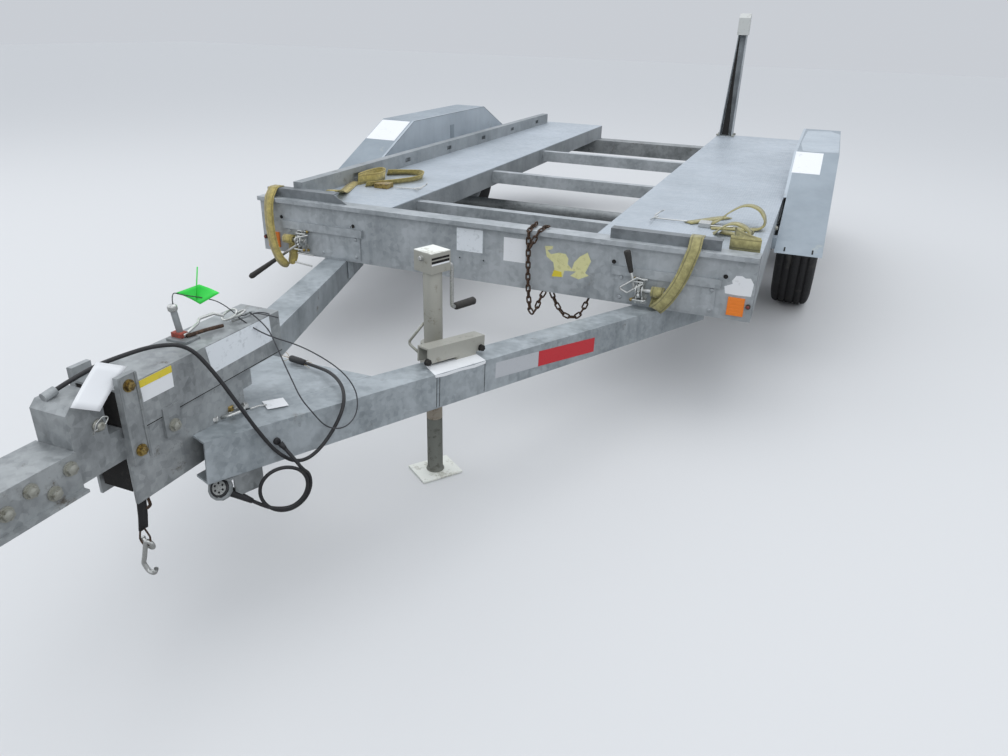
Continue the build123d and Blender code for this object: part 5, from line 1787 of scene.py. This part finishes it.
# Jack
def jack_details():
    """Head with its slots and bolts, tube, bracket bolts, bent rod, leg, foot and crank."""
    side_on = Matrix.Rotation(-HEADING, 3, "Z")
    middle = at(214, -838, 0)

    def jack_at(out, along, z):
        """A place beside the jack: out from the rail, along it, and its height, in millimetres."""
        return middle + side_on @ Vector((out / 1000, along / 1000, 0)) + Vector((0, 0, z / 1000))

    def brick(made, low, high, finish):
        low, high = [min(p) for p in zip(low, high)], [max(p) for p in zip(low, high)]
        corners = [
            jack_at(x, y, z)
            for z in (low[2], high[2])
            for y in (low[1], high[1])
            for x in (low[0], high[0])
        ]
        points = [made.mesh.verts.new(c) for c in corners]
        for face in ((0, 2, 3, 1), (4, 5, 7, 6), (0, 1, 5, 4), (2, 6, 7, 3), (0, 4, 6, 2), (1, 3, 7, 5)):
            made.mesh.faces.new([points[i] for i in face]).material_index = finish

    head = Shape("jack_head_and_tube", "jack_grey", "shade", "zinc", "jack_pale", "vinyl")
    brick(head, (-38, -38, 690), (38, 38, 749.5), 0)
    brick(head, (-37.6, -37.6, 749.5), (37.6, 37.6, 752), 3)
    # Two slots drawn as dark strips of painted shade, and a label strip under them, on the head's side
    for low, high, finish in ((720.5, 728, 1), (732, 738.5, 1), (715, 720, 4)):
        brick(head, (37.5, -36, low), (38.8, 33, high), finish)
    head.round(middle + Vector((0, 0, 0.372)), (0, 0, 1), [(0, 0.0254), (0, 0.0286), (0.318, 0.0286)], 48, 0)
    head.round(
        middle + Vector((0, 0, 0.372)),
        (0, 0, 1),
        [(-0.0006, 0.0292), (0.012, 0.0292), (0.014, 0.0286)],
        48,
        0,
    )
    way = side_on @ Vector((-1, 0, 0))
    head.bolt(jack_at(-3, -38, 732), side_on @ Vector((0, -1, 0)), 0.013, 2, washer=1.25)
    head.bolt(jack_at(-38, 6, 716), way, 0.011, 2, washer=1.2)
    head.done(replaces=["jack_tube"], bevel=0.0025)
    rod = Shape("jack_bent_rod", "pale_zinc")
    rod.rod(bent(places((186, -846, 520), (132, -850, 447), (176, -864, 428)), 0.012), 0.0042, 12, 0)
    rod.done()
    crank = Shape("jack_crank_and_grip", "zinc", "grip")
    # The crank's shaft runs along the rail, out of the head's rear face
    along = side_on @ Vector((0, 1, 0))
    start = jack_at(6, 38, 697)
    corner = start + along * 0.034
    foot = corner - Vector((0, 0, 0.140))
    crank.rod(bent([start, corner, foot, foot + along * 0.030], 0.016), 0.0062, 14, 0)
    crank.round(start, along, [(0, 0.014), (0.004, 0.014), (0.0045, 0.010), (0.012, 0.0095)], 24, 0)
    crank.round(
        foot + along * 0.012,
        along,
        [(0, 0.0075), (0.002, 0.0105), (0.006, 0.0120), (0.066, 0.0124), (0.080, 0.0128), (0.084, 0.010)],
        28,
        1,
    )
    crank.done(replaces=["jack_crank"])
    leg = Shape("jack_leg_and_foot", "jack_leg", "jack_pale", "jack_stained")
    leg.round(
        middle + Vector((0, 0, 0.008)),
        (0, 0, 1),
        [(0, 0.0252), (0.0, 0.0300), (0.004, 0.0290), (0.010, 0.0252), (0.192, 0.0252)],
        48,
        0,
    )
    leg.round(middle + Vector((0, 0, 0.200)), (0, 0, 1), [(0, 0.0253), (0.210, 0.0253)], 48, 2)
    side_on = Matrix.Rotation(-math.radians(36.5), 3, "Z")
    brick(leg, (-58, -71, 0), (58, 71, 8), 1)
    leg.done("jack_leg", ["jack_leg"], bevel=0.0015)
    # Bolts at the channel's ends; the channel stands along the rail's inner edge
    bracket = Shape("jack_bracket_bolts", "shade", "zinc")
    for along in (-118, 96):
        centre = bar_middle() + RAIL_ALONG * (along / 1000)
        bracket.bolt(centre + RAIL_OUT * 0.0232 + RAIL_UP * 0.016, RAIL_OUT, 0.017, 0, washer=1.2)
    bracket.done()


RAIL_FLAT = Vector((math.cos(HEADING), -math.sin(HEADING), 0))


def bar_middle():
    """Middle of the jack's channel, on the rail's inner edge beside the jack."""
    inner = 100 + (-838 + 1690) * math.tan(HEADING) - 101.6 / math.cos(HEADING)
    edge = (inner - 214) * math.cos(HEADING)
    flat = at(214, -838, 380 + 838 * math.tan(TILT)) + RAIL_FLAT * (edge + 23) / 1000
    return flat - Vector(
        (math.sin(HEADING), math.cos(HEADING), 0)
    ) * (edge * math.tan(HEADING) / 1000) + RAIL_UP * 0.009


# Fenders, guard rail, rear
def body_details():
    """Fender labels, slots and inner sides, painted shade down the post, rear lamps and bolts."""
    marks = Shape("fender_labels_and_slots", "vinyl", "shade", "under", "lit_fender_side")
    way = Vector((0, -332, 760)).normalized()

    def on_slope(sign, x, share, rise=0.0):
        return at(sign * x, 700 + 760 * share, 470 + 332 * share) + way * rise / 1000

    # Slots in each fender's slope: dark strips of painted shade
    for sign, spots in ((1, (1138, 1254)), (-1, (1138, 1254))):
        for x in spots:
            stuck_on(
                marks,
                [
                    on_slope(sign, a, b, 0.2)
                    for a, b in ((x - 4, 0.02), (x + 3, 0.02), (x + 3, 0.055), (x - 4, 0.055))
                ],
                way,
                1,
            )
    for sign, low, high, first, last in ((1, 1092, 1222, 0.765, 0.995), (-1, 1104, 1292, 0.725, 0.985)):
        stuck_on(
            marks,
            [
                on_slope(sign, x, s, 0.2)
                for x, s in ((low, first), (high, first), (high, last), (low, last))
            ],
            way,
            0,
        )
    # Painted reflection: a sheet of the paler fender zinc for the sky's light on the left fender's top
    stuck_on(
        marks,
        [
            at(x, y, 802)
            for x, y in (
                (1120, 1500), (1170, 1478), (1290, 1520), (1293, 2300), (1240, 2440), (1110, 2380),
                (1099, 1800),
            )
        ],
        (0, 0, 1),
        3,
        0.0003,
    )
    marks.done()
    # Inner side wall of each fender, down to the runway, with the fold that joins it to the top; its paler
    # zinc paints the light falling on these sides
    sides = Shape("fender_inner_sides", "lit_fender_side")
    for sign in (1, -1):
        wall = side_outline(
            sign * 1082.2, (1085, 632), (1085, 638), (1460, 801), (2500, 801), (2875, 638), (2875, 632),
        )
        sides.plate(wall, Vector((sign * 0.0016, 0, 0)), 0)
        fold = side_outline(
            sign * 1082.2, (1085, 638), (1460, 802), (2500, 802), (2875, 638), (2868, 638), (2499, 799),
            (1461, 799), (1092, 638),
        )
        sides.plate(fold, Vector((sign * 0.0145, 0, 0)), 0)
    sides.done()
    # Dark strip down the guide post's front face: painted shade inside its open channel
    recess = Shape("guide_post_painted_shade", "shade", "zinc")
    stuck_on(
        recess,
        front_outline(3330, (496, 632), (543, 632), (532, 936), (528, 1290), (519, 1290), (508, 936)),
        (0, -1, 0),
        0,
    )
    recess.done()
    rear = Shape("rear_lamp_lenses", "plastic", "red_lens", "amber", "vinyl")
    for sign in (1, -1):
        rear.box(at(sign * 830, 3450, 430), at(sign * 1060, 3466, 514), 0)
        for low, high, finish in ((835, 905, 2), (909, 985, 1), (989, 1055, 1)):
            rear.box(at(sign * low, 3466, 435), at(sign * high, 3488, 509), finish)
            for i in range(6):
                z = 440 + i * 12
                rear.box(at(sign * (low + 3), 3486, z), at(sign * (high - 3), 3488.8, z + 6), finish)
    rear.done(replaces=["rear_lamps"], bevel=0.002)
    for sign, side in ((1, "left"), (-1, "right")):
        way = (sign, 0, 0)
        bolts(
            f"fender_bracket_bolts_{side}",
            [(sign * 1083, y, 560) for y in (775, 1460, 1980, 2500, 3185)],
            way,
            0.016,
            "pale_zinc",
        )
        # Axle clamps with their bars and bolts, and hanger bolts
        works = Shape(f"suspension_{side}_bolts", "pale_zinc", "under")
        for y in (1550, 2410):
            for dy in (-34, 34):
                for dx in (-17, 17):
                    x = sign * 1050 + dx
                    works.rod([at(x, y + dy, 298), at(x, y + dy, 428)], 0.006, 12, 0)
                    works.bolt(at(x, y + dy, 298), (0, 0, -1), 0.018, 0, washer=1.2)
                    works.bolt(at(x, y + dy, 417), (0, 0, 1), 0.018, 0, washer=1.2)
        for y in (1100, 1980, 2860):
            for step in (-1, 1):
                works.bolt(at(sign * 1050 + step * 22.8, y, 398), (step, 0, 0), 0.022, 0, washer=1.25)
        works.done(bevel=0.0)
    post = Shape("post_bolts_and_foot", "pale_zinc", "rail")
    for x, y in ((465, 3325), (577, 3325), (465, 3435), (577, 3435)):
        post.bolt(at(x, y, 624.2), (0, 0, 1), 0.016, 0, washer=1.2)
    post.done()


beam_details()
tongue_details()
actuator_details()
breakaway_cable()
jack_details()
body_details()


# Stage
def studio():
    """Pale floor and backdrop, three soft lamps and plain tones."""
    floor = bpy.data.meshes.new("floor")
    reach = 30
    floor.from_pydata(
        [(-reach, -reach, 0), (reach, -reach, 0), (reach, reach, 0), (-reach, reach, 0)],
        [],
        [(0, 1, 2, 3)],
    )
    ground = bpy.data.objects.new("floor", floor)
    ground.location.z = -0.001
    made, tree, shader = surface("floor_grey", 0.0, 0.9)
    seen = put(tree, "ShaderNodeLightPath")
    pale = mixed(tree, seen.outputs["Is Camera Ray"], (0.32, 0.32, 0.32, 1), (0.66, 0.665, 0.668, 1))
    tree.links.new(pale, shader.inputs["Base Color"])
    floor.materials.append(made)
    bpy.context.scene.collection.objects.link(ground)
    world = bpy.data.worlds.new("studio")
    bpy.context.scene.world = world
    world.use_nodes = True
    tree = world.node_tree
    back = tree.nodes["Background"]
    seen = put(tree, "ShaderNodeLightPath")
    shown = maths(tree, "MAXIMUM", seen.outputs["Is Camera Ray"], seen.outputs["Is Transmission Ray"])
    tree.links.new(mixed(tree, shown, (0.86, 0.90, 0.96, 1), (0.585, 0.612, 0.655, 1)), back.inputs["Color"])
    back.inputs["Strength"].default_value = 1.0
    for name, place, size, power in (
        ("key", (3.5, -6.0, 5.5), 4.0, 80.0),
        ("side", (-6.0, -2.0, 4.5), 5.0, 60.0),
        ("top", (0.0, 1.0, 7.0), 6.0, 120.0),
    ):
        lamp = bpy.data.lights.new(name, "AREA")
        lamp.size = size
        lamp.energy = power
        light = bpy.data.objects.new(name, lamp)
        light.location = place
        light.rotation_mode = "QUATERNION"
        light.rotation_quaternion = Vector(place).to_track_quat("Z", "Y")
        bpy.context.scene.collection.objects.link(light)
    bpy.context.scene.view_settings.view_transform = "Standard"


studio()
